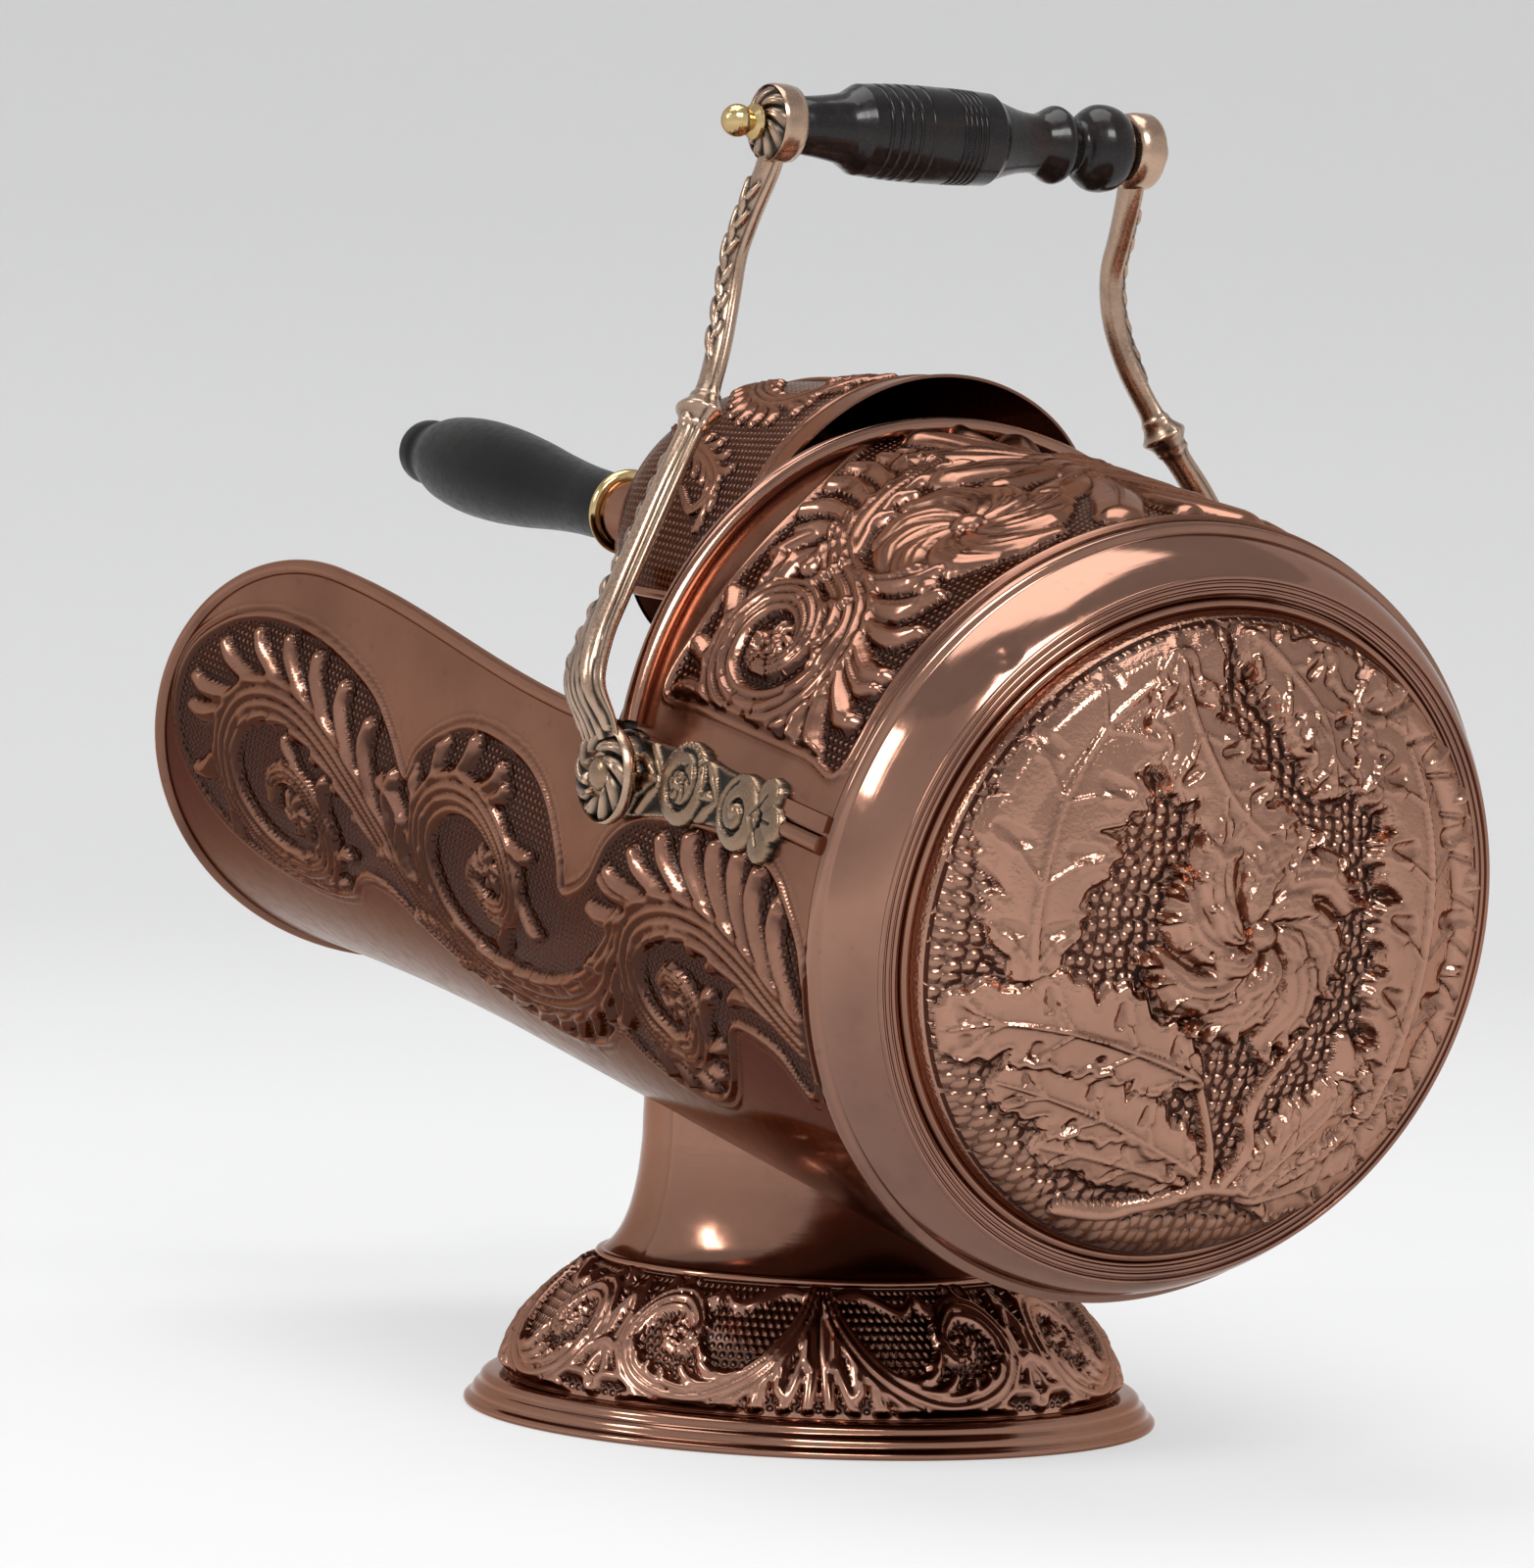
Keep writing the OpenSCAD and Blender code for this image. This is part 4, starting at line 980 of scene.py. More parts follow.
def draw_dome(relief):
    """The whole back, from the outer branches to the flower."""
    # left branch: a tall leaf, two long ones to the left and one below
    leaf(relief, [(-88, -12), (-89, 20), (-82, 55), (-66, 82), (-44, 100), (-18, 114)], 28, 5, 3.6, 1.6)
    leaf(relief, [(-14, -46), (-36, -38), (-66, -30), (-94, -28), (-117, -33)], 22, 4, 4.2, 1.6)
    leaf(relief, [(-2, -86), (-26, -74), (-52, -62), (-78, -54), (-94, -51)], 17, 4, 4.0, 1.5)
    leaf(relief, [(-6, -90), (-28, -84), (-50, -79), (-72, -76)], 11, 3, 3.4, 1.2)
    # top: curled leaves round an acorn
    leaf(relief, [(22, 116), (38, 96), (50, 78), (56, 56)], 15, 3, 4.6, 1.4)
    leaf(relief, [(-8, 117), (12, 104), (26, 86), (30, 60)], 17, 4, 5.6, 1.6)
    leaf(relief, [(-36, 108), (-33, 88), (-22, 66), (-6, 50), (14, 40)], 20, 4, 6.2, 1.8)
    acorn(relief, (18, 80), (0.3, -1), 9)
    acorn(relief, (56, -43), (-0.5, 1), 10)
    # right branch, close to the rim, and the thick twisted stem outside it
    leaf(relief, [(70, -66), (80, -30), (84, 10), (80, 48), (68, 80), (50, 104)], 29, 6, 6.0, 1.8)
    leaf(relief, [(20, -92), (36, -76), (50, -62), (62, -50)], 16, 3, 5.0, 1.5)
    leaf(relief, [(24, -98), (50, -92), (76, -78), (96, -58)], 16, 4, 5.0, 1.5)
    rope = smooth_line([(52, 100), (80, 76), (98, 44), (106, 8), (102, -28), (88, -60), (64, -84),
                        (36, -96)], 10)
    relief.stroke(rope, [3, 5.5, 7, 7, 7, 6, 5, 4], [5, 8, 9, 9.5, 9, 8, 7, 5], "body", 0.5, 1)
    for k in range(13):
        place, way = along_line(rope, 0.06 + 0.07 * k)
        off = np.array([-way[1], way[0]])
        relief.stroke([place - off * 6 - way * 5, place, place + off * 6 + way * 5], [0.9, 1.3, 0.9], -1.6,
                      "lines", 0.8, 4)
    # stems
    for path, wide, high in (
            ([(-54, -101), (-34, -103), (-14, -98), (2, -92), (20, -93), (44, -88), (66, -72), (80, -44)],
             [2.6, 3.6, 3.8, 3.4, 2.8], [3.6, 5.6, 5.8, 4.6]),
            ([(3, -92), (1, -80), (-6, -64), (-14, -48)], [3.0, 2.4], [5.0, 4.0]),
            ([(10, -92), (17, -76), (13, -62), (17, -46), (28, -30)], [3.2, 3.0, 2.2], [5.4, 4.6]),
            ([(-14, -48), (-22, -40), (-44, -33), (-70, -29), (-88, -14)], [2.2, 1.8], [4.6, 4.8]),
            ([(22, -92), (30, -82), (33, -70), (42, -60), (50, -52)], [2.8, 2.2], [5.6, 5.2])):
        relief.stroke(path, wide, high)
    # the flower
    swirl(relief, (0, 10), 43, 8, 6.6, 0.5, -1, True)
    swirl(relief, (0, 10), 24, 6, 7.8, 0.2, -1)
    relief.stroke([(0, 10), (0.1, 10)], 6, 8.4, "body", 0.6, 1)
    r = np.hypot(relief.u, relief.v)
    fade = np.clip((120.0 - r) / 5, 0, 1)
    relief.scale(fade)
    return (relief.total() < 0.5) * (r < 120.5)


print("dome layout ready")

# %% [markdown]
# ### The dome's sheet
# A dome could be turned from a profile, but then the rows of points would
# crowd at its middle, right in the flower. A square grid pressed into a
# round shape has no such pole. The whole sheet sits a little deeper than
# the plain solid, so that even the highest leaf stays behind its rear.

# %% Dome
DOME_R, DOME_DEPTH, RING_DEPTH = 123.0, 45.0, 27.0
DOME_SINK = 7.0  # how far the sheet lies behind the solid's face, to make room for the relief
REAR_SPARE = 4.6  # how far the highest relief may stand behind the plain dome
FULL_ROOM = 8.6  # room, in mm, that the relief needs at its full height


def dome_piece():
    """A square grid drawn into the round, so no pole pinches the flower."""
    side = spaced([-1, 1], [2 / 270])
    a, b = np.meshgrid(side, side, indexing="ij")
    larger = np.maximum(np.abs(a), np.abs(b))
    longer = np.maximum(np.hypot(a, b), 1e-9)
    x, y = a * larger / longer * DOME_R, b * larger / longer * DOME_R
    r = np.hypot(x, y)
    fall = np.sqrt(np.maximum(1 - (r / DOME_R) ** 2, 0.0004))
    relief = Relief(x, y)
    ground = draw_dome(relief)
    normal = np.stack([x / DOME_R ** 2, y / DOME_R ** 2, fall / DOME_DEPTH], -1)
    normal /= np.linalg.norm(normal, axis=-1)[..., None]
    surface = drum_place(-x, y, -(RING_DEPTH + DOME_DEPTH * fall))
    out = -normal[..., :1] * ACROSS + normal[..., 1:2] * UP - normal[..., 2:] * AXIS
    sink = DOME_SINK * np.clip((DOME_R - 2 - r) / 16, 0, 1)
    # near the rearmost point there is little room behind the dome, so the relief is lower there
    rearmost = BACK[1] + (DOME_DEPTH + RING_DEPTH) * math.cos(TILT) + REAR_SPARE
    room = (rearmost - surface[..., 1]) / np.maximum(out[..., 1], 0.3) + sink
    relief.scale(np.clip(room / FULL_ROOM, 0.2, 1))
    relief.lines = np.minimum(relief.total(), room) - relief.body
    mesh = embossed("dome", surface - out * sink[..., None], out, relief, ground, patina=0.5)
    return add_piece(mesh, "scuttle", ["back_dome"], [pebbled_copper])


dome = dome_piece()

# %% [markdown]
# ## The foot's embossed band
# The band repeats four times round the foot: a palmette of hanging fingers,
# then a scroll to each side of it that meets the next one. One half of one
# repeat is drawn, and the rest of the band reads the same drawing.

# %% Layout of the band
FOOT_REPEAT = 4
FOOT_MEAN_R = 115.0


def draw_foot_band(relief):
    """Half of one repeat: u from the palmette's middle, v the height above the floor."""
    stem = [(1, 62), (8, 46), (24, 28), (46, 18), (68, 22), (80, 36), (75, 49), (61, 52), (51, 44), (55, 35),
            (63, 37)]
    frond(relief, stem, [3, 4.5, 5.5, 6, 6, 5.5, 5, 4.5, 4, 3, 2.4], [1.8, 2.6, 2.6, 2.2], 3)
    fingers(relief, stem, 0.05, 0.36, 6, -1, [22, 24, 24, 20], [3.4, 3.6, 3.2], 2.8, [0.5, 0.6, 0.8], 1.5)
    fingers(relief, stem, 0.40, 0.70, 6, -1, [20, 18], [3.4, 3.2], 2.6, 0.6, 2)
    fingers(relief, stem, 0.22, 0.52, 6, 1, [20, 20, 16], [3.2, 3.0], 2.6, [1.1, 0.9, 0.6], 2)
    fingers(relief, stem, 0.74, 0.9, 3, -1, [14, 10], 3.0, 2.6, 0.8, 2)
    knop(relief, (61, 41), 5.5, 2.8, 6)
    for tip in ((4, 17), (13, 16)):
        relief.stroke([(1, 60), (tip[0] * 0.3 + 1, 38), tip], [1.6, 3.2, 2.6], [2.0, 2.8, 3.4])
    relief.stroke([(2, 56), (18, 58), (36, 52), (46, 57)], [2, 2.6, 2.4, 1.6], [2.0, 2.6, 2.0])
    relief.stroke([(88, 30), (86, 46), (90, 57)], [1.8, 3.0, 2.2], [1.6, 2.8, 2.4])
    relief.stroke([(90, 15), (86, 24), (90, 34)], [2.2, 3.0, 2.0], [2.6, 2.8, 1.6])
    fade = np.clip((relief.v - 14.5) / 2.5, 0, 1) * np.clip((61.5 - relief.v) / 2.5, 0, 1)
    relief.scale(fade)
    return (relief.total() < 0.35) * (fade > 0.6)


print("foot band:", FOOT_REPEAT, "repeats")

# %% [markdown]
# ### The band's sheet
# The band is a dome of sheet between the rim and the ridge. Its grid goes
# all the way round, so its last column is joined to its first, and folding
# the distance round it turns one half repeat into the whole band.

# %% Foot band
BAND_CURVE = [(124, 13.8), (122, 30), (108, 46), (88, 60)]  # radius and height in mm
BAND_COLUMNS = 690
DRAWN_WIDTH = 180  # width of one repeat in the drawing


def foot_band():
    """The embossed dome of the foot, drawn once and read all round."""
    curve = cubic(BAND_CURVE, spaced([0, 1], [1 / 60]))
    turn = np.arange(0, BAND_COLUMNS) / BAND_COLUMNS * 2 * math.pi
    r, turn = np.meshgrid(curve[:, 0], turn, indexing="ij")
    z = np.meshgrid(curve[:, 1], np.arange(BAND_COLUMNS), indexing="ij")[0]
    width = 2 * math.pi * FOOT_MEAN_R / FOOT_REPEAT
    place = (turn - math.radians(60)) * FOOT_MEAN_R
    folded = np.abs((place + width / 2) % width - width / 2)
    relief = Relief(folded * DRAWN_WIDTH / width, z)
    ground = draw_foot_band(relief)
    slope = np.gradient(curve, axis=0)
    slope /= np.linalg.norm(slope, axis=1)[:, None]
    out = np.stack([slope[:, 1][:, None] * np.cos(turn), slope[:, 1][:, None] * np.sin(turn),
                    np.broadcast_to(-slope[:, 0][:, None], turn.shape)], -1)
    surface = np.stack([r * np.cos(turn), r * np.sin(turn), z], -1)
    relief.u = place
    mesh = embossed("foot_band", surface, out, relief, ground, wrap=True, blur=3, patina=0.45)
    return add_piece(mesh, "scuttle", ["foot_dome"], [foot_pearled_copper])


foot = foot_band()

# %% [markdown]
# ## Turned parts
# The ring, the foot, the grip and the shovel's handle are turned: a profile
# of (radius, place along the axis) is swept round. A `Shell` is one closed
# skin; a piece may be several. `spin_place` travels with the mesh so that
# the finish can lay its fine lines round the axis.

# %% Shells and frames
class Shell:
    """Points in mm with the quads and triangles that close round them."""
    def __init__(self, points, quads, tris, hollow=None, spin=None):
        self.points, self.quads, self.tris = points, quads, tris
        self.hollow = np.zeros(len(points)) if hollow is None else hollow
        self.spin = points if spin is None else spin
        corners = np.vstack([tris, quads[:, :3], quads[:, [0, 2, 3]]]).astype(int)
        a, b, c = (points[corners[:, k]] - points[0] for k in range(3))
        if np.einsum("ij,ij->", a, np.cross(b, c)) < 0:
            self.quads, self.tris = quads[:, ::-1], tris[:, ::-1]


def ring_shell(rings, closed=False, tips=None, hollow=None, spin=None):
    """Skin over a stack of rings; closed joins last to first, else each end gets a fan."""
    n, m = rings.shape[:2]
    i, k = (g.ravel() for g in np.meshgrid(np.arange(n if closed else n - 1), np.arange(m), indexing="ij"))
    quads = np.stack([i * m + k, (i + 1) % n * m + k, (i + 1) % n * m + (k + 1) % m, i * m + (k + 1) % m], 1)
    points, tris = rings.reshape(-1, 3), np.zeros((0, 3), int)
    hollow = np.zeros(n * m) if hollow is None else hollow.ravel()
    spin = rings.reshape(-1, 3) if spin is None else spin.reshape(-1, 3)
    if not closed:
        points = np.vstack([points, tips if tips is not None else [rings[0].mean(0), rings[-1].mean(0)]])
        k = np.arange(m)
        tris = np.vstack([np.stack([np.full(m, n * m), (k + 1) % m, k], 1),
                          np.stack([np.full(m, n * m + 1), (n - 1) * m + k, (n - 1) * m + (k + 1) % m], 1)])
        hollow = np.r_[hollow, hollow[0], hollow[-1]]
        spin = np.vstack([spin, spin[:1], spin[-1:]])
    return Shell(points, quads, tris, hollow, spin)


def shell_mesh(name, shells, sharp=50):
    """One mesh of several closed skins, creased where faces meet at more than so many degrees."""
    faces, base = [], 0
    for shell in shells:
        faces += (shell.quads + base).tolist() + (shell.tris + base).tolist()
        base += len(shell.points)
    mesh = bpy.data.meshes.new(name)
    mesh.from_pydata(np.vstack([shell.points for shell in shells]) * 0.001, [], faces)
    mesh.shade_smooth()
    mesh.set_sharp_from_angle(angle=math.radians(sharp))
    paint_points(mesh, hollow=np.concatenate([shell.hollow for shell in shells]),
                 spin_place=np.vstack([shell.spin for shell in shells]) * 0.001)
    return mesh


def placed_in(origin, *axes):
    """Carries x, y, z of a frame, in mm, to the part's own."""
    origin, axes = np.array(origin, float), np.array(axes, float)
    return lambda x, y, z: origin + np.stack(np.broadcast_arrays(x, y, z), -1) @ axes


def leaning(degrees):
    """Up and ahead, for a piece whose axis rises by so many degrees towards the spout."""
    a = math.radians(degrees)
    return np.array([0, math.sin(a), math.cos(a)]), np.array([0, -math.cos(a), math.sin(a)])


X, Y, Z = np.eye(3)
PLATE = (0, -90, 349)  # middle of the shovel's round back plate
HANDLE_LEAN, BLADE_LEAN = 7.5, 5.2
in_foot = placed_in((0, 0, 0), X, Y, Z)
in_drum = placed_in(BACK, X, UP, AXIS)
in_grip = placed_in(GRIP, Y, Z, X)
in_shovel = placed_in(PLATE, X, *leaning(HANDLE_LEAN))
in_blade = placed_in(PLATE, -X, leaning(BLADE_LEAN)[0], -leaning(BLADE_LEAN)[1])


def turned(profile, place, around=180, carve=None):
    """A profile of (radius, along) swept round; it closes on itself unless it starts on the axis."""
    profile = np.asarray(profile, float)
    solid = profile[0, 0] < 1e-6
    body = profile[1:-1] if solid else profile
    turn = np.arange(around) * 2 * math.pi / around
    r, turn = np.meshgrid(body[:, 0], turn, indexing="ij")
    along = np.broadcast_to(body[:, 1:], r.shape).copy()
    run = np.r_[0, np.cumsum(np.linalg.norm(np.diff(body, axis=0), axis=1))][:, None] + 0 * r
    hollow = np.zeros(r.shape)
    if carve:
        r, along, hollow = carve(r, along, turn)
    rings = place(r * np.cos(turn), r * np.sin(turn), along)
    tips = [place(0.0, 0.0, profile[0, 1]), place(0.0, 0.0, profile[-1, 1])] if solid else None
    spin = np.stack([8 * np.cos(turn), 8 * np.sin(turn), run], -1)
    return ring_shell(rings, not solid, tips, hollow, spin)


def rounded(points, spacing=0.8):
    """A smooth profile through the points with a point every so many mm."""
    line = smooth_line(points, 12)
    run = np.r_[0, np.cumsum(np.linalg.norm(np.diff(line, axis=0), axis=1))]
    at = np.linspace(0, run[-1], max(int(run[-1] / spacing), 4))
    return np.stack([np.interp(at, run, line[:, k]) for k in (0, 1)], 1)


def bead(r, along, size, steps=14):
    """The round section of a bead, for the lathe."""
    a = np.linspace(0, 2 * math.pi, steps, endpoint=False)
    return np.stack([r + size * np.cos(a), along + size * np.sin(a)], 1)


print("lathe ready")

# %% [markdown]
# ## Finishes of the turned and cast parts
# Spun copper and brass carry fine lines round their axis. Cast bronze is
# rubbed pale on what stands up and stays dark in its hollows, and the grip
# and the shovel's handle are blackened wood. Each kind is one function, so
# that its pieces differ only in tone and polish.

# %% Finishes of the turned and cast parts
def spun(name, tone, dark, rough, coat=0.3, lines=1.0):
    """Polished metal with the faint lines of its spinning, a little tarnish and painted shade where it faces
    down.
    """
    f = Finish(name)
    spin = f.attribute("spin_place", True)
    fine = f.noise(1.0, 2, at=spin, stretch=(30, 30, 2600))
    soft = f.noise(1.0, 3, at=spin, stretch=(22, 22, 180))
    cloud = f.noise(16, 4)
    speck = f.noise(240, 3)
    hollow = f.attribute("hollow")
    # tarnish from clouds, specks and hollows, plus painted shade where the surface faces down
    tarnish_and_shade = (cloud.ramp(0.45, 0.8) * 0.4 + speck.ramp(0.62, 0.82) * 0.25 + hollow * 0.8
               + f.facing_down_shade() * 0.6).least(1.0)
    normal = f.bump(fine, 0.05 * lines, 0.0003)
    normal = f.bump(soft, 0.07 * lines, 0.0009, normal)
    normal = f.bump(cloud, 0.05, 0.002, normal)
    roughness = soft.ramp(0.3, 0.75) * 0.06 + speck.ramp(0.4, 0.8) * 0.07 + hollow * 0.2 + rough
    return f.set(Base_Color=f.mix(tarnish_and_shade, tone, dark), Metallic=1.0, Roughness=roughness.least(1.0),
                 Specular_Tint=EDGE_TINT, Coat_Weight=coat, Coat_Roughness=0.08, Normal=normal)


def cast(name, tone, dark, rough):
    """Cast metal, rubbed pale on what stands up and dark in its hollows."""
    f = Finish(name)
    hollow = f.attribute("hollow")
    cloud = f.noise(60, 4)
    grit = f.noise(700, 3)
    shade = (hollow * 1.5 + cloud.ramp(0.45, 0.8) * 0.3).least(1.0)
    normal = f.bump(grit, 0.12, 0.0003)
    normal = f.bump(cloud, 0.10, 0.0010, normal)
    return f.set(Base_Color=f.mix(shade, tone, dark), Metallic=1.0,
                 Roughness=grit.ramp(0.3, 0.8, rough, rough + 0.14) + hollow * 0.2, Coat_Weight=0.1,
                 Coat_Roughness=0.2, Normal=normal)


def painted_wood(name, tone, worn, rough, coat, shine=0.25):
    """Blackened wood: faint grain along the turning, rubbed brown where it is held."""
    f = Finish(name)
    spin = f.attribute("spin_place", True)
    grain = f.noise(1.0, 4, at=spin, stretch=(420, 420, 14))
    rub = f.noise(26, 4)
    scuff = f.noise(300, 3)
    wear = (rub.ramp(0.50, 0.78) * 0.55 + grain.ramp(0.62, 0.8) * 0.35).least(1.0)
    normal = f.bump(grain, 0.12, 0.0004)
    normal = f.bump(scuff, 0.05, 0.0002, normal)
    return f.set(Base_Color=f.mix(wear, tone, worn), Metallic=0.0,
                 Roughness=scuff.ramp(0.3, 0.8, rough, rough + 0.15),
                 Specular_IOR_Level=shine, Coat_Weight=coat, Coat_Roughness=0.10, Normal=normal)


SPUN_TONE = (0.37, 0.185, 0.125)
polished_copper = spun("polished_copper", SPUN_TONE, (0.085, 0.035, 0.023), 0.08, 0.6)
wire_copper = spun("wire_copper", SPUN_TONE, (0.09, 0.038, 0.026), 0.13, 0.25, 0.3)
foot_copper = spun("foot_copper", SPUN_TONE, (0.09, 0.038, 0.026), 0.11, 0.3)
brown_bronze = cast("brown_bronze", (0.31, 0.200, 0.130), (0.030, 0.026, 0.022), 0.22)
pale_bronze = cast("pale_bronze", (0.53, 0.36, 0.26), (0.050, 0.040, 0.031), 0.20)
bright_brass = spun("bright_brass", (0.74, 0.56, 0.27), (0.36, 0.22, 0.08), 0.14)
dark_iron = cast("dark_iron", (0.10, 0.095, 0.09), (0.03, 0.028, 0.026), 0.42)
ebonised_wood = painted_wood("ebonised_wood", (0.008, 0.006, 0.006), (0.034, 0.012, 0.008), 0.20, 0.22)
black_wood = painted_wood("black_wood", (0.007, 0.007, 0.0065), (0.020, 0.017, 0.015), 0.30, 0.04, 0.14)
print("finishes:", ", ".join(m.name for m in bpy.data.materials))

# %% [markdown]
# ## Ring and foot
# The polished ring is spun from one disc: a step, a long soft round and a
# flat with three fine beads. Its surface is a hair out of true, as hand
# finishing leaves it, with one old knock high on the right. The dome is held behind it
# by a narrow flange and a bead.

# %% Back ring, foot rim and neck
KNOCK_AT, KNOCK_R = 47, 140  # degrees round the ring, and mm from its axis


def hand_finished(r, along, turn):
    """Slow waves of a tenth of a millimetre or so, and the knock."""
    wave = 0.10 * np.sin(3 * turn + 1.0) + 0.06 * np.sin(7 * turn) + 0.04 * np.sin(13 * turn + 2)
    apart = ((turn - math.radians(KNOCK_AT)) * KNOCK_R) ** 2 + (r - KNOCK_R - 0.5) ** 2 + (along + 22) ** 2
    knock = np.exp(-apart / 18)
    r = r - 0.15 + wave * np.clip((150 - r) / 4, 0, 1) - knock * 0.9
    return r, along + knock * 0.8 + 0.05 * wave, np.clip(knock * 0.4, 0, 1)


ring_round = cubic([(146.5, -5), (144.5, -12), (140.5, -22), (134, -27)], np.linspace(0, 1, 33))
ring_profile = np.vstack([[(150, 0), (150, -2.5), (149.6, -3.3), (148.6, -3.9), (147.4, -4.2), (146.7, -4.5)],
                          ring_round,
                          [(132, -27), (130, -27), (127.6, -27), (126.9, -26.6), (126.7, -25.6),
                           (133, -25.4)],
                          (ring_round - [1.5, -0.8])[28:2:-4], [(144, -4), (144, 0)]])
ring_shells = [turned(ring_profile, in_drum, 360, hand_finished)]
ring_shells += [turned(bead(r, -26.8, 1.1), in_drum, 300) for r in (129.0, 131.6, 134.2)]
back_ring = add_piece(shell_mesh("back_ring_spun", ring_shells), "scuttle", ["back_ring"],
                      [polished_copper])
flange = turned([(119, -24), (132.6, -24), (132.6, -25.2), (119, -25.2)], in_drum, 240)
dome_bead = turned(bead(124.4, -26.7, 1.9, 20), in_drum, 300)
dome_edge = add_piece(shell_mesh("dome_edge", [flange, dome_bead]), "scuttle",
                      finishes=[wire_copper])

rim_profile = np.vstack([rounded([(135.5, 0.05), (138.6, 0.15), (139.6, 0.9), (139.8, 1.9), (139.2, 3.0),
                                  (137.2, 4.0)], 0.5),
                         rounded([(136.6, 4.6), (136.3, 6.4), (135.4, 7.8), (134.1, 8.6)], 0.6),
                         rounded([(133.5, 9.4), (133.1, 11.4), (131.4, 12.9), (129.5, 13.4)], 0.6),
                         [(124, 13.6), (118, 13.8), (118, 12.3), (128.9, 11.4), (131.1, 10.8), (131.9, 7.2),
                          (133.9, 5.8), (134.7, 2.8)]])
foot_rim = add_piece(shell_mesh("foot_rim_spun", [turned(rim_profile, in_foot, 300)]), "scuttle",
                     ["foot_rim"], [foot_copper])
ridge_profile = np.vstack([[(82, 60)], cubic([(86.4, 60), (89.7, 60), (89.7, 64), (86.4, 64)],
                                             np.linspace(0, 1, 15)), [(82, 64)]])
foot_ridge = add_piece(shell_mesh("foot_ridge_spun", [turned(ridge_profile, in_foot, 240)]), "scuttle",
                       ["foot_ridge"], [foot_copper])


NECK_R, NECK_FOOT = 72, 64


def neck_piece():
    """The flared neck, rolled from a sheet whose edges lap, trimmed to the drum above it."""
    flare = cubic([(86, NECK_FOOT), (77.5, 70), (73, 86), (NECK_R, 110)], np.linspace(0, 1, 40))
    turn = np.arange(0, 360) / 360 * 2 * math.pi
    t, turn = np.meshgrid(spaced([0, 1], [1 / 50]), turn, indexing="ij")
    across, ahead = NECK_R * np.cos(turn), NECK_R * np.sin(turn)
    under = np.sqrt((DRUM_R - 0.4) ** 2 - across ** 2)
    top = BACK[2] - (under + (ahead - BACK[1]) * math.sin(TILT)) / math.cos(TILT)
    z = NECK_FOOT + t * (top - NECK_FOOT)
    r = np.interp(z, flare[:, 1], flare[:, 0])
    relief = Relief((turn - math.pi) * NECK_R, z)
    lap = (np.degrees(turn) - 3 + 180) % 360 - 180
    relief.body += 0.55 * np.clip(lap / 0.6, 0, 1) * np.clip((26 - lap) / 24, 0, 1)
    out = np.stack([np.cos(turn), np.sin(turn), np.zeros(turn.shape)], -1)
    surface = in_foot(r * np.cos(turn), r * np.sin(turn), z)
    mesh = embossed("foot_neck_rolled", surface, out, relief, np.zeros(turn.shape), wrap=True, sink=0.3)
    paint_points(mesh, spin_place=np.array([v.co[:] for v in mesh.vertices]))
    return add_piece(mesh, "scuttle", ["foot_neck"], [foot_copper])


foot_neck = neck_piece()
print("ring, rim, ridge and neck:", sum(len(p.data.polygons)
                                        for p in (back_ring, foot_rim, foot_ridge, foot_neck)), "faces")

# %% [markdown]
# ## Wires
# The rims of sheet metal are rolled round a wire. A node tree does what the
# rolling does: it takes a line and gives it a round section. Its radius and
# its number of sides are named inputs, set for each wire before it is baked.
# The same tree draws the bar that runs from each bracket's tail to the ring,
# half sunk in the drum so that it shows as a half round.

# %% Rolled wires
def wire_tree():
    """The node tree, and its inputs by name."""
    tree = bpy.data.node_groups.new("rolled_wire", "GeometryNodeTree")
    sockets = {"Line": "NodeSocketGeometry", "Wire radius": "NodeSocketFloat", "Sides": "NodeSocketInt",
               "Finish": "NodeSocketMaterial"}
    named = {name: tree.interface.new_socket(name, in_out="INPUT", socket_type=kind)
             for name, kind in sockets.items()}
    tree.interface.new_socket("Wire", in_out="OUTPUT", socket_type="NodeSocketGeometry")
    kinds = ("NodeGroupInput", "GeometryNodeMeshToCurve", "GeometryNodeCurvePrimitiveCircle",
             "GeometryNodeCurveToMesh", "GeometryNodeRealizeInstances", "GeometryNodeSetShadeSmooth",
             "GeometryNodeSetMaterial", "NodeGroupOutput")
    given, line, circle, sweep, real, smooth, finish, out = (tree.nodes.new(kind) for kind in kinds)
    sweep.inputs["Fill Caps"].default_value = True
    for a, b in ((given.outputs["Line"], line.inputs["Mesh"]), (line.outputs[0], sweep.inputs["Curve"]),
                 (given.outputs["Sides"], circle.inputs["Resolution"]),
                 (given.outputs["Wire radius"], circle.inputs["Radius"]),
                 (circle.outputs[0], sweep.inputs["Profile Curve"]), (sweep.outputs[0], real.inputs[0]),
                 (real.outputs[0], smooth.inputs[0]), (smooth.outputs[0], finish.inputs[0]),
                 (given.outputs["Finish"], finish.inputs["Material"]), (finish.outputs[0], out.inputs[0])):
        tree.links.new(a, b)
    return tree, named


WIRE, WIRE_INPUTS = wire_tree()


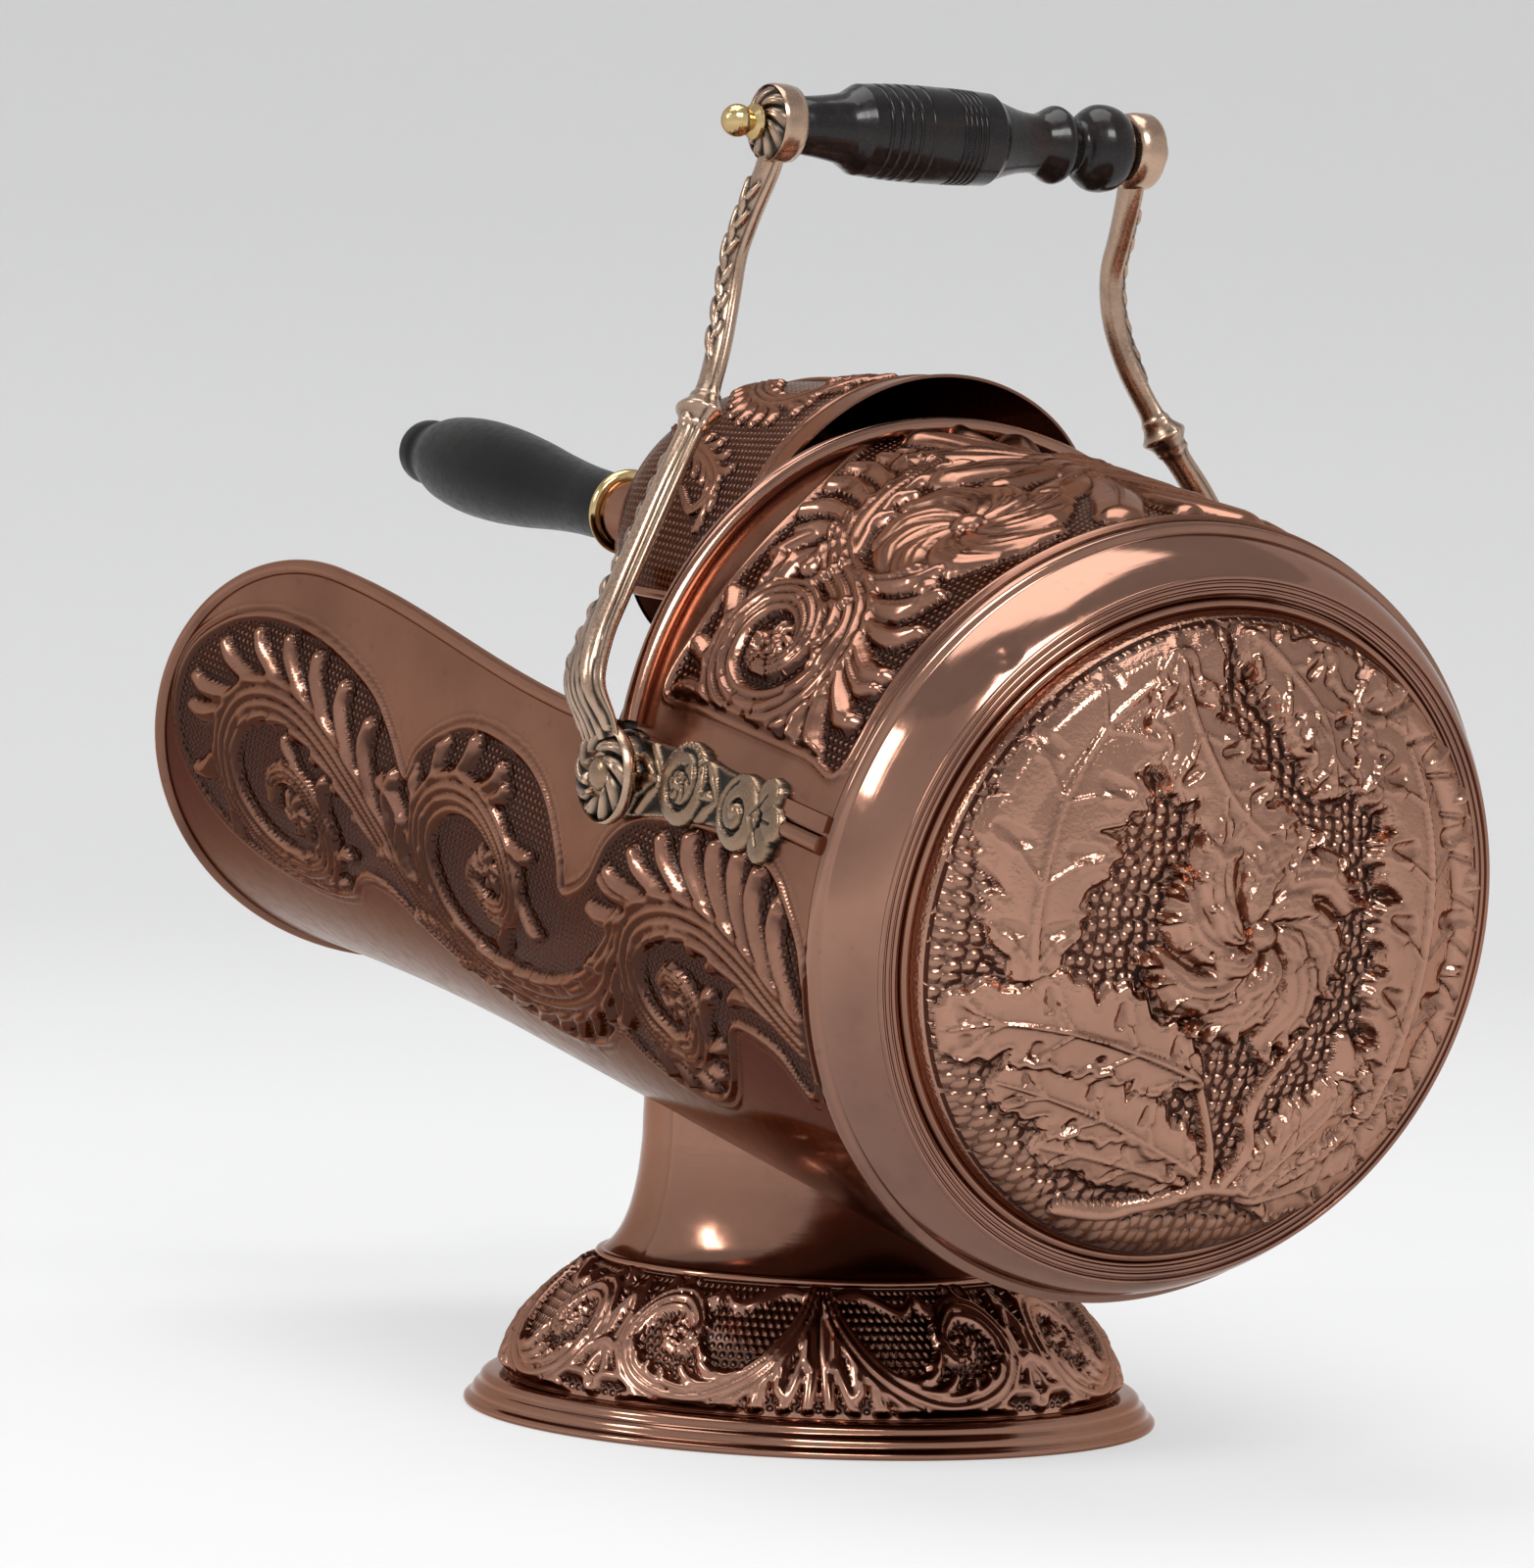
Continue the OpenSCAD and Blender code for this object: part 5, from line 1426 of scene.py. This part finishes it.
def rolled_wire(name, line, radius, body, node, finish, sides=20):
    """Bakes one wire along a line of points in mm."""
    mesh = bpy.data.meshes.new(name + "_line")
    mesh.from_pydata(np.asarray(line) * 0.001, [(k, k + 1) for k in range(len(line) - 1)], [])
    guide = bpy.data.objects.new(name + "_line", mesh)
    bpy.context.scene.collection.objects.link(guide)
    roll = guide.modifiers.new("roll", "NODES")
    roll.node_group = WIRE
    for key, value in (("Wire radius", radius * 0.001), ("Sides", sides), ("Finish", finish)):
        roll[WIRE_INPUTS[key].identifier] = value
    baked = bpy.data.meshes.new_from_object(guide.evaluated_get(bpy.context.evaluated_depsgraph_get()))
    baked.name = name
    bpy.data.objects.remove(guide)
    points = np.empty(len(baked.vertices) * 3)
    baked.vertices.foreach_get("co", points)
    paint_points(baked, spin_place=points.reshape(-1, 3), hollow=np.zeros(len(baked.vertices)))
    baked.set_sharp_from_angle(angle=math.radians(60))
    print(name, len(baked.polygons), "faces")
    return add_piece(baked, body, [node] if node else ())


def both_sides(line):
    """One side's line and its mirror image, joined where they meet."""
    return np.vstack([line, line[-2::-1] * [-1, 1, 1]])


SPOUT_WIRE_R, HOOD_BEAD_R, SEAM_BAR_R = 3.3, 4.45, 3.8
side_edge, lip = np.arange(160, 394, 4.0), cubic(LIP_CURVE, np.linspace(0, 1, 80))
rim_along = np.r_[side_edge, lip[:, 0]]
rim_angle = np.radians(np.r_[trough_edge(side_edge), lip[:, 1]])
rim_radius = body_radius(rim_along) - SHEET / 2
rim_wire = both_sides(in_drum(rim_radius * np.cos(rim_angle), rim_radius * np.sin(rim_angle), rim_along))
spout_wire = rolled_wire("spout_wire_rolled", rim_wire, SPOUT_WIRE_R, "scuttle", "spout_wire", wire_copper)
hood_angle = np.radians(np.linspace(14.5, 165.5, 121))
across, up = 152.5 * np.cos(hood_angle), 152.5 * np.sin(hood_angle)
hood_wire = in_drum(across, up, hood_front(up))
hood_bead = rolled_wire("hood_bead_rolled", hood_wire, HOOD_BEAD_R, "scuttle", "hood_bead", polished_copper)
for side, name in ((-1, "left"), (1, "right")):
    bar = in_drum(side * math.sqrt(149.4 ** 2 - SEAM_BAR_V ** 2), SEAM_BAR_V, np.linspace(1, 32, 16))
    rolled_wire("seam_bar_" + name, bar, SEAM_BAR_R, "scuttle", None, wire_copper)

# %% [markdown]
# ## The bail
# Each arm is one casting: a rosette on the pivot, an acanthus leaf up its
# lower swell, a turned knuckle, small paired leaves above it and an eye for
# the grip. An arm is swept along its centre line: each row of the table is a
# place on that line with the half widths of its section. The relief is drawn
# on the outer face, and the inner one is left smooth.

# %% Bail arms
# outward, towards the back and up from the pivot, then the half widths fore and aft, and outward
ARM_LINE = smooth_line([[157.2, 0, 4, 12, 2.8], [162, -3, 20, 14.5, 4.2], [166, -6, 35, 13.5, 5.5],
                        [160, -9.5, 52, 11, 5.5], [150, -13, 69, 9, 5.5], [138, -16, 90, 7.5, 5.5],
                        [124, -20, 115, 7, 5.5], [114, -24.2, 131, 7, 5.5], [109.5, -26, 139, 11, 8.5],
                        [105, -28.2, 147, 7, 5.5], [97, -34, 165, 6.5, 5.5], [91.5, -38, 184, 6.5, 5.5],
                        [89, -37.5, 202, 6.5, 5.5], [87.5, -30, 218, 6.5, 5.5], [85.5, -22, 234, 7.5, 5.5],
                        [84, -18.2, 247, 9, 5]], 18)[10:]


def draw_arm(relief):
    """u runs up the arm from the pivot, v across its outer face with the rear edge positive."""
    relief.stroke([(26, 8), (50, 5), (80, 3), (112, 2), (146, 1.5)], [2.4, 4.4, 4.2, 3.8, 4.4],
                  [1.0, 1.9, 1.9, 1.7, 1.4], "body", 0.5, 10)
    for tip in ((16, -14), (10, -10), (6, -5.5), (5, -0.5), (8, 4.5), (14, 9.5)):
        relief.stroke([(66, -1), (44, tip[1] * 0.42 - 0.8), (26, tip[1] * 0.85), tip], [0.8, 1.7, 2.5, 2.2],
                      [0.6, 1.3, 1.8, 1.9])
    for k in range(9):
        u = 34 + 11 * k
        edge = float(np.interp(u, [34, 60, 90, 130], [13.5, 10.5, 7.8, 6.8]))
        relief.stroke([(u, -edge * 0.1), (u + 6, -edge * 0.55), (u + 12, -edge * 1.0)], [1.4, 2.7, 1.7],
                      [0.9, 1.9, 1.9])
        relief.stroke([(u + 1, -edge * 0.2), (u + 7, -edge * 0.6)], [0.5, 0.6], [-0.4, -0.6], "lines", 0.8)
    for k in range(6):
        u = 178 + 12 * k
        relief.stroke([(u, 2.0), (u + 5, 0.0), (u + 13, -4.8)], [1.6, 2.7, 1.4], [1.0, 1.9, 1.5])
        relief.stroke([(u + 6, 1.0), (u + 10, 3.4), (u + 14, 5.0)], [1.0, 1.9, 1.0], [0.8, 1.6, 1.1])
        relief.stroke([(u + 2, 1.4), (u + 10, -2.8)], [0.4, 0.5], [-0.4, -0.5], "lines", 0.8)


def petalled(inner, outer, petals, height, sweep=0.0):
    """Raises whirling petals on the outer face of a turned boss, between two radii."""
    def carve(r, along, turn):
        share = np.clip((r - inner) / (outer - inner), 0, 1)
        angle = turn + sweep * share
        petal = np.abs(np.cos(angle * petals / 2)) ** 0.6
        petal = petal * np.sin(math.pi * np.clip(share * 0.93 + 0.07, 0, 1) ** 0.9) ** 0.35
        vein = np.exp(-((angle * petals / (2 * math.pi) + 0.5) % 1 - 0.5) ** 2 / 0.003)
        vein = vein * (share > 0.1) * (share < 0.9)
        face = (along > np.median(along) - 1.0) * (r > inner) * (r < outer + 0.5)
        deep = face * (1 - petal)
        along = along - face * height * (0.9 * (1 - petal) + 0.2 * vein)
        return r - 0.35 * height * deep * share, along, np.clip(deep * 1.3, 0, 1)
    return carve


PIN_HOLE_R, ROD_HOLE_R = 4.05, 4.0
ARM_FACE, ROSETTE_R, EYE_R = 154.3, 19.6, 15.4


def arm_piece(name, side, node):
    """One arm: the swept stem, the rosette on the pivot and the eye's flower."""
    centre, half_fore, half_out = ARM_LINE[:, :3], ARM_LINE[:, 3:4], ARM_LINE[:, 4:5]
    way = np.gradient(centre, axis=0)
    way /= np.linalg.norm(way, axis=1)[:, None]
    fore = np.array([0, 1.0, 0]) - way * way[:, 1:2]
    fore /= np.linalg.norm(fore, axis=1)[:, None]
    outward = -np.cross(way, fore)
    turn = np.arange(72) / 72 * 2 * math.pi
    cos, sin = np.cos(turn)[None], np.sin(turn)[None]
    run = np.r_[0, np.cumsum(np.linalg.norm(np.diff(centre, axis=0), axis=1))][:, None] + 10 + 0 * cos
    relief = Relief(run, np.where(sin > -0.35, cos * half_fore, 99.0))
    draw_arm(relief)
    collar = 0.0
    for at, high, wide in ((139, 1.1, 1.6), (133, 0.7, 1.1), (145, 0.7, 1.1)):
        collar = collar + high * np.exp(-((centre[:, 2:3] - at) / wide) ** 2)
    height = relief.total() * np.clip((sin + 0.35) * 4, 0, 1) + collar - 2.0 * np.clip((sin + 0.1) * 3, 0, 1)
    normal = (cos[..., None] / half_fore[:, None] * fore[:, None]
              + sin[..., None] / half_out[:, None] * outward[:, None])
    normal /= np.linalg.norm(normal, axis=-1)[..., None]
    rings = (centre[:, None] + cos[..., None] * half_fore[:, None] * fore[:, None]
             + sin[..., None] * half_out[:, None] * outward[:, None] + normal * height[..., None])
    hollow = np.clip((blurred(height, 5) - height) * 1.8 + 0.1, 0, 1)
    flip = np.array([side, 1, 1])
    stem = ring_shell(PIVOT + rings * flip, hollow=hollow, spin=rings)
    on_pivot = placed_in(PIVOT, Y, Z, side * X)
    boss = [(PIN_HOLE_R, ARM_FACE), (16.0, ARM_FACE), (18.4, 155.4), (19.4, 157.0)]
    boss += [(8.8 + 10.8 * math.cos(a), 158.0 + 6.8 * math.sin(a))
             for a in np.radians(np.linspace(0, 88, 44))]
    boss += [(8.2, 160.6), (PIN_HOLE_R, 160.2)]
    rosette = turned(boss, on_pivot, 200, petalled(8.6, ROSETTE_R, 9, 4.2, 0.9))
    on_eye = placed_in(GRIP, Y, Z, side * X)
    rise = np.radians(np.linspace(0, 65, 24))
    eye = [(ROD_HOLE_R, 76.6), (12.6, 76.6), (14.8, 78.2), (EYE_R, 81.6)]
    eye += [(EYE_R * math.cos(a), 86.4 + 7 * math.sin(a)) for a in rise] + [(ROD_HOLE_R, 93.0)]
    flower = turned(eye, on_eye, 180, petalled(5.0, 15.6, 9, 2.6, 0.8))
    mesh = shell_mesh(name, [stem, rosette, flower])
    print(name, len(mesh.polygons), "faces")
    return add_piece(mesh, "bail", [node], [pale_bronze])


arm_left = arm_piece("bail_arm_left_cast", -1, "bail_arm_left")
arm_right = arm_piece("bail_arm_right_cast", 1, "bail_arm_right")

# %% [markdown]
# ### The grip
# The grip is turned wood, blackened: a barrel, a waist and a knob, with fine
# grooves cut while it spun. Its profile is sampled every third of a
# millimetre, so that a groove is real shape and not only shading.

# %% Grip
GROOVES = (42, 37.5, 33, 28.8, 23, 8.4, 6, 3.6, 1.2, -1.2)
GROOVE_R, GRIP_END = 0.8, 75.4


def grip_piece():
    """The turned grip, sampled finely enough for its grooves."""
    shape = np.vstack([smooth_line([[10.6, 75.4], [11.4, 72], [12.2, 65], [13.8, 56], [16, 51.5]]),
                       smooth_line([[17.8, 48.6], [18.9, 30], [18.9, 5], [18.2, -11]]),
                       smooth_line([[16.2, -14], [14.2, -20], [12.4, -27], [11.8, -34], [13.4, -38.4],
                                    [15.6, -43.5], [13.6, -48],
                                    [10.4, -51.5], [10.4, -54.5], [14, -57.5], [17.2, -62.5], [17.2, -68.5],
                                    [15.2, -73], [11, -75.4]])])
    along = np.arange(GRIP_END, -GRIP_END, -0.3)
    r = np.interp(-along, -shape[:, 1], shape[:, 0])
    for groove in GROOVES:
        r -= np.sqrt(np.maximum(GROOVE_R ** 2 - (along - groove) ** 2, 0))
    r -= 0.05
    profile = np.vstack([[(ROD_HOLE_R, GRIP_END)], np.stack([r, along], 1),
                         [(11, -GRIP_END), (ROD_HOLE_R, -GRIP_END)]])
    mesh = shell_mesh("grip_turned", [turned(profile, in_grip, 120)])
    return add_piece(mesh, "bail", ["grip"], [ebonised_wood])


grip = grip_piece()
print("grip", len(grip.data.polygons), "faces, with", len(GROOVES), "grooves")

# %% [markdown]
# ## The brackets
# A casting on each side carries the pivot: a round boss, two rolled volutes
# and a petalled tail, laid over the side seam. Cutting its outline out of a
# mesh would be fiddly, so it is drawn on a whole patch of the drum, and
# outside the outline the patch lies hidden within the drum's sheet.

# %% Brackets
def volute(relief, centre, radius, turns, way):
    """A rolled volute: a groove that winds in to a round eye."""
    a = np.linspace(0, 2 * math.pi * turns, 40)
    r = radius * (1 - 0.72 * a / a[-1])
    line = np.stack([centre[0] + r * np.cos(way * a + 1.2), centre[1] + r * np.sin(way * a + 1.2)], 1)
    relief.stroke(line, [1.2, 1.4, 1.1], [-1.6, -2.6, -1.8], "lines", 0.6, 1)
    relief.stroke([centre, np.add(centre, [0.1, 0])], radius * 0.26, 1.4, "lines", 0.6, 1)


BOSS_U, BOSS_V = 143, 19  # the pivot's place on the drum
BOSS_FACE, BOSS_R = 153.9, 16.0  # the arm's flat: how far it lies from the drum's middle, and its radius
# place, radius and crown of each disc, from the pivot to the lobes of the tail
DISCS = (((BOSS_U, BOSS_V), 17.5, 0.0), ((98, 25), 16.5, 3.0), ((56, 24), 15.0, 2.8),
         ((39, 34), 7.5, 1.4), ((33, 25), 7.5, 1.4), ((38, 16), 7.5, 1.4))
# root and tip of each leaf between the discs
LEAFLETS = ((72, 24, 83, 36), (72, 24, 83, 13), (74, 24, 82, 24), (112, 22, 124, 33), (112, 22, 125, 9),
            (112, 22, 128, 21), (116, 22, 130, 28), (116, 22, 131, 14))


def draw_bracket(relief):
    """u runs along the drum from the ring, v up from the level of the axis."""
    web = np.array([(36, 18), (98, 11.5), (138, 3), (138, 35), (98, 38), (36, 36)], float)
    near = relief.reach(web, 1.0)
    gap, _ = relief.distance(np.vstack([web, web[:1]]), near)
    relief.body[near] = 3.4 * np.clip(gap / 1.2, 0, 1) * relief.inside(web, near)
    for (u, v), radius, crown in DISCS:
        gap = np.hypot(relief.u - u, relief.v - v)
        dome = 4.0 + crown * np.sqrt(np.clip(1 - (gap / radius) ** 2, 0, 1))
        relief.body = np.maximum(relief.body, dome * np.clip((radius - gap) / 1.0, 0, 1))
    volute(relief, (98, 25), 12.6, 1.3, 1)
    volute(relief, (56, 24), 10.8, 1.1, -1)
    middle = np.array([98, 25])
    for k in range(11):
        a = math.radians(20 + 13 * k)
        way = np.array([math.cos(a), math.sin(a)])
        relief.stroke([middle + way * 13.4, middle + way * 16.0], [0.7, 0.9], -1.2, "lines", 0.7, 2)
    for k in range(6):
        a = 2 * math.pi * k / 6
        path = [(98 + q * math.cos(a + bend), 25 + q * math.sin(a + bend))
                for q, bend in ((3.5, 0), (5.6, 0.35), (7.8, 0.9))]
        relief.stroke(path, [0.5, 0.8, 0.6], -1.3, "lines", 0.7, 3)
    for u, v, tip_u, tip_v in LEAFLETS:
        bend = ((u + tip_u) / 2, (v + tip_v) / 2 + 0.8)
        relief.stroke([(u, v), bend, (tip_u, tip_v)], [1.2, 2.6, 2.2], [1.2, 2.6, 2.2], "lines", 0.6)
    for u, v in ((39, 34), (33, 25), (38, 16)):
        relief.stroke([(46, 25), (u, v)], [0.6, 0.8], [-0.6, -1.0], "lines", 0.7, 3)


CAST_GRID = 0.62  # spacing of the patch in mm
CAST_SINK, CAST_BACK = 1.1, 1.35  # how deep the patch's face and back lie within the drum's sheet


def bracket_piece(name, side, node):
    """One bracket, with a flat on its boss for the arm to turn against."""
    along = spaced([25.0, 162.0], [CAST_GRID])
    angle = spaced([math.radians(-0.5), math.radians(17.5)], [CAST_GRID / DRUM_R])
    along, angle = np.meshgrid(along, angle, indexing="ij")
    relief = Relief(along, DRUM_R * np.sin(angle))
    draw_bracket(relief)
    boss = np.hypot(relief.u - BOSS_U, (DRUM_R + 4) * np.sin(angle) - BOSS_V)
    flat = BOSS_FACE / np.cos(angle) - DRUM_R + 1.2
    share = np.clip((BOSS_R - boss) / 0.8, 0, 1)
    relief.body = relief.body * (1 - share) + flat * share
    relief.lines *= 1 - share
    out = side * np.cos(angle)[..., None] * ACROSS + np.sin(angle)[..., None] * UP
    surface = drum_place(0.0, 0.0, along) + out * DRUM_R
    height = relief.total()
    inner = (surface - out * CAST_BACK)[::INNER_STEP, ::INNER_STEP]
    mesh = sheet_mesh(name, surface + out * (height - CAST_SINK)[..., None], inner)
    hollow = np.clip((blurred(height, 8) - height) * 1.1 + 0.15 + 0.5 * (height < 3.9), 0, 1)
    paint_points(mesh, hollow=np.r_[hollow.ravel(), np.zeros(inner.shape[0] * inner.shape[1])])
    print(name, len(mesh.polygons), "faces")
    return add_piece(mesh, "scuttle", [node], [brown_bronze])


bracket_left = bracket_piece("bracket_left_cast", -1, "bracket_left")
bracket_right = bracket_piece("bracket_right_cast", 1, "bracket_right")

# %% [markdown]
# ## The shovel
# The blade is a half round of sheet, hollow side down over the mouth, with
# acanthus along its back and a wire folded into each side edge. Its lip is
# cut on a curve, so the length of each row of its grid is found by closing
# in on that curve a few times.

# %% Blade
BLADE = smooth_line([[48, 0], [57.5, 7], [65.5, 22], [72, 50], [76, 90], [81, 130], [85.5, 162]], 12)
LIP_EDGE = np.vstack([[(154, 110)], smooth_line([[160, 88], [159, 66], [153, 36], [144, 4], [138, -11]], 8)])


def blade_radius(along):
    """The blade widens from the plate to its lip."""
    return np.interp(along, BLADE[:, 1], BLADE[:, 0])


def draw_blade(relief):
    """u runs from the plate to the lip, v round the back from its middle."""
    spine = [(18, 0), (60, 0), (110, 0), (142, 0)]
    relief.stroke(spine, [2.6, 3.4, 3.0, 1.2], [1.4, 1.8, 1.6, 0.6], "body", 0.6, 8)
    for side in (1, -1):
        stem = np.array([(22, 4), (44, 18), (70, 34), (98, 40), (120, 30), (122, 14), (106, 10),
                         (98, 18)]) * [1, side]
        frond(relief, stem, [2.5, 4.2, 5.0, 4.8, 4.2, 3.4, 2.6, 2.0], [1.2, 1.8, 1.6], 3)
        fingers(relief, stem, 0.05, 0.55, 8, side, [24, 26, 24], [3.6, 3.4], 1.7, [0.6, 0.5], 2)
        fingers(relief, stem, 0.10, 0.60, 7, -side, [18, 16], [2.8], 1.5, 0.5, 2)
        fingers(relief, stem, 0.60, 0.85, 4, side, [16, 12], 2.8, 1.5, 0.6, 2)
        low = np.array([(26, 56), (52, 66), (80, 72), (104, 84), (92, 96), (76, 88)]) * [1, side]
        frond(relief, low, [2.2, 3.4, 3.8, 3.2, 2.4, 1.8], [1.2, 1.6, 1.4], 2)
        fingers(relief, low, 0.05, 0.7, 8, side, [20, 18], [2.8], 1.5, 0.6, 2)
        fingers(relief, low, 0.05, 0.6, 6, -side, [16, 14], [2.6], 1.4, 0.6, 2)
    fade = np.clip((relief.u - 14) / 4, 0, 1) * np.clip((138 - relief.u) / 4, 0, 1)
    relief.scale(fade)
    relief.stroke([(10, -140), (10, 140)], 1.2, 0.8, "lines", 0.7, 20)
    relief.stroke([(141, -140), (141, 140)], 1.2, 0.8, "lines", 0.7, 20)
    return (relief.total() < 0.25) * (fade > 0.6)


BLADE_LONG, BLADE_GIRTH, BLADE_GRID = 156, 235, 0.8
EDGE_WIRE_R = 2.15


def edge_rise(along):
    """Height of the blade's side edges above its axis."""
    return -18 + 7 * along / 158


def blade_piece():
    """The blade's sheet, round from one side edge to the other."""
    t = spaced([0, 1], [BLADE_GRID / BLADE_LONG])
    q = spaced([0, 1], [BLADE_GRID / BLADE_GIRTH])
    t, q = np.meshgrid(t, q, indexing="ij")
    end = np.full(t.shape, 150.0)
    for _ in range(12):
        low = np.arcsin(edge_rise(end) / blade_radius(end))
        angle = low + q * (math.pi - 2 * low)
        end = 0.5 * end + 0.5 * np.interp(blade_radius(end) * np.sin(angle), LIP_EDGE[::-1, 1],
                                          LIP_EDGE[::-1, 0])
    along = 0.3 + t * (end - 0.3)
    low = np.arcsin(edge_rise(along) / blade_radius(along))
    angle = low + q * (math.pi - 2 * low)
    r = blade_radius(along)
    relief = Relief(along, (angle - math.pi / 2) * 74)
    ground = draw_blade(relief)
    slope = np.gradient(BLADE[:, 0]) / np.gradient(BLADE[:, 1])
    slope = np.interp(along, BLADE[:, 1], slope)
    square = 1 / np.sqrt(1 + slope ** 2)
    out = in_blade(np.cos(angle) * square, np.sin(angle) * square, -np.sqrt(1 - square ** 2))
    out -= np.array(PLATE, float)
    surface = in_blade(r * np.cos(angle), r * np.sin(angle), along)
    mesh = embossed("shovel_blade", surface, out, relief, ground, thickness=1.3, sink=0.35)
    return add_piece(mesh, "shovel", ["blade_sheet"], [pearled_copper])


blade = blade_piece()
for side, node in ((-1, "blade_edge_left"), (1, "blade_edge_right")):
    along = np.linspace(2, 139, 60)
    rise = edge_rise(along)
    edge_r = blade_radius(along) - 0.8
    edge = in_blade(side * np.sqrt(edge_r ** 2 - rise ** 2), rise, along)
    rolled_wire(node + "_wire", edge, EDGE_WIRE_R, "shovel", node, wire_copper, 14)

# %% [markdown]
# ### Plate, socket, collar and handle
# These are turned too. Each is a profile of (radius, place along the axis)
# and a line that says where it belongs, so one helper makes all four.

# %% Plate, socket, collar and handle
def turned_piece(name, profile, place, around, node, finish):
    """One turned piece of the shovel in place of its solid."""
    mesh = shell_mesh(name, [turned(profile, place, around)])
    print(name, len(mesh.polygons), "faces")
    return add_piece(mesh, "shovel", [node], [finish])


in_plate = placed_in(PLATE, X, *leaning(BLADE_LEAN))
plate_profile = np.vstack([[(0, 0)], [(30, 0), (47.6, 0)], rounded([(48, 0.2), (48.7, 1.0), (48, 2.0)], 0.3),
                           rounded([(46, 2.1), (40, 2.2), (37, 2.6), (34, 4.0)], 0.6), [(20, 4.0), (0, 4.0)]])
socket_profile = np.vstack([[(11, 3.2)], rounded([(24, 3.2), (23.4, 7), (22, 8.6), (18.6, 10.6), (16.4, 16),
                                                  (15.4, 24), (14.6, 36), (14.4, 50), (14.6, 68), (15, 83.8)],
                                                  1.0), [(11, 83.8)]])
collar_profile = np.vstack([[(11, 84)], rounded([(15.5, 84), (17.6, 84.9), (18.5, 87), (17.6, 89.1),
                                                 (15.5, 90)], 0.3), [(11, 90)]])
handle_profile = np.vstack([[(0, 62)], [(11, 62), (11, 90)],
                            rounded([[14, 90], [14.6, 104], [15.2, 125], [17, 148], [19.6, 172], [21.4, 198],
                                     [21.4, 222], [19.2, 243], [15.6, 256], [14, 260.5], [14.6, 266],
                                     [13.6, 273], [9, 279.6]], 1.2), [(4, 281.2), (0, 281.6)]])
plate = turned_piece("shovel_plate", plate_profile, in_plate, 160, "blade_plate", polished_copper)
socket = turned_piece("shovel_socket_turned", socket_profile, in_shovel, 140, "shovel_socket",
                      wire_copper)
collar = turned_piece("shovel_collar_turned", collar_profile, in_shovel, 140, "shovel_collar",
                      bright_brass)
handle = turned_piece("shovel_handle_turned", handle_profile, in_shovel, 140, "shovel_handle",
                      black_wood)

# %% [markdown]
# ## Solids that stay
# Pins, washers, the nut, the rod and the two flat strips over the seams have
# their right shape already, so they keep it and only get a finish.

# %% Finishes of the solids that stay
plain_finish = {"seam_strip": wire_copper, "pivot_pin": brown_bronze, "tie_rod": dark_iron,
                "grip_washer": bright_brass, "ball_nut": bright_brass, "rod_head": pale_bronze}
for name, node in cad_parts.items():
    for start, finish in plain_finish.items():
        if name.startswith(start):
            for holder in node.material_slots:
                holder.material = finish
            print(name, "gets", finish.name)
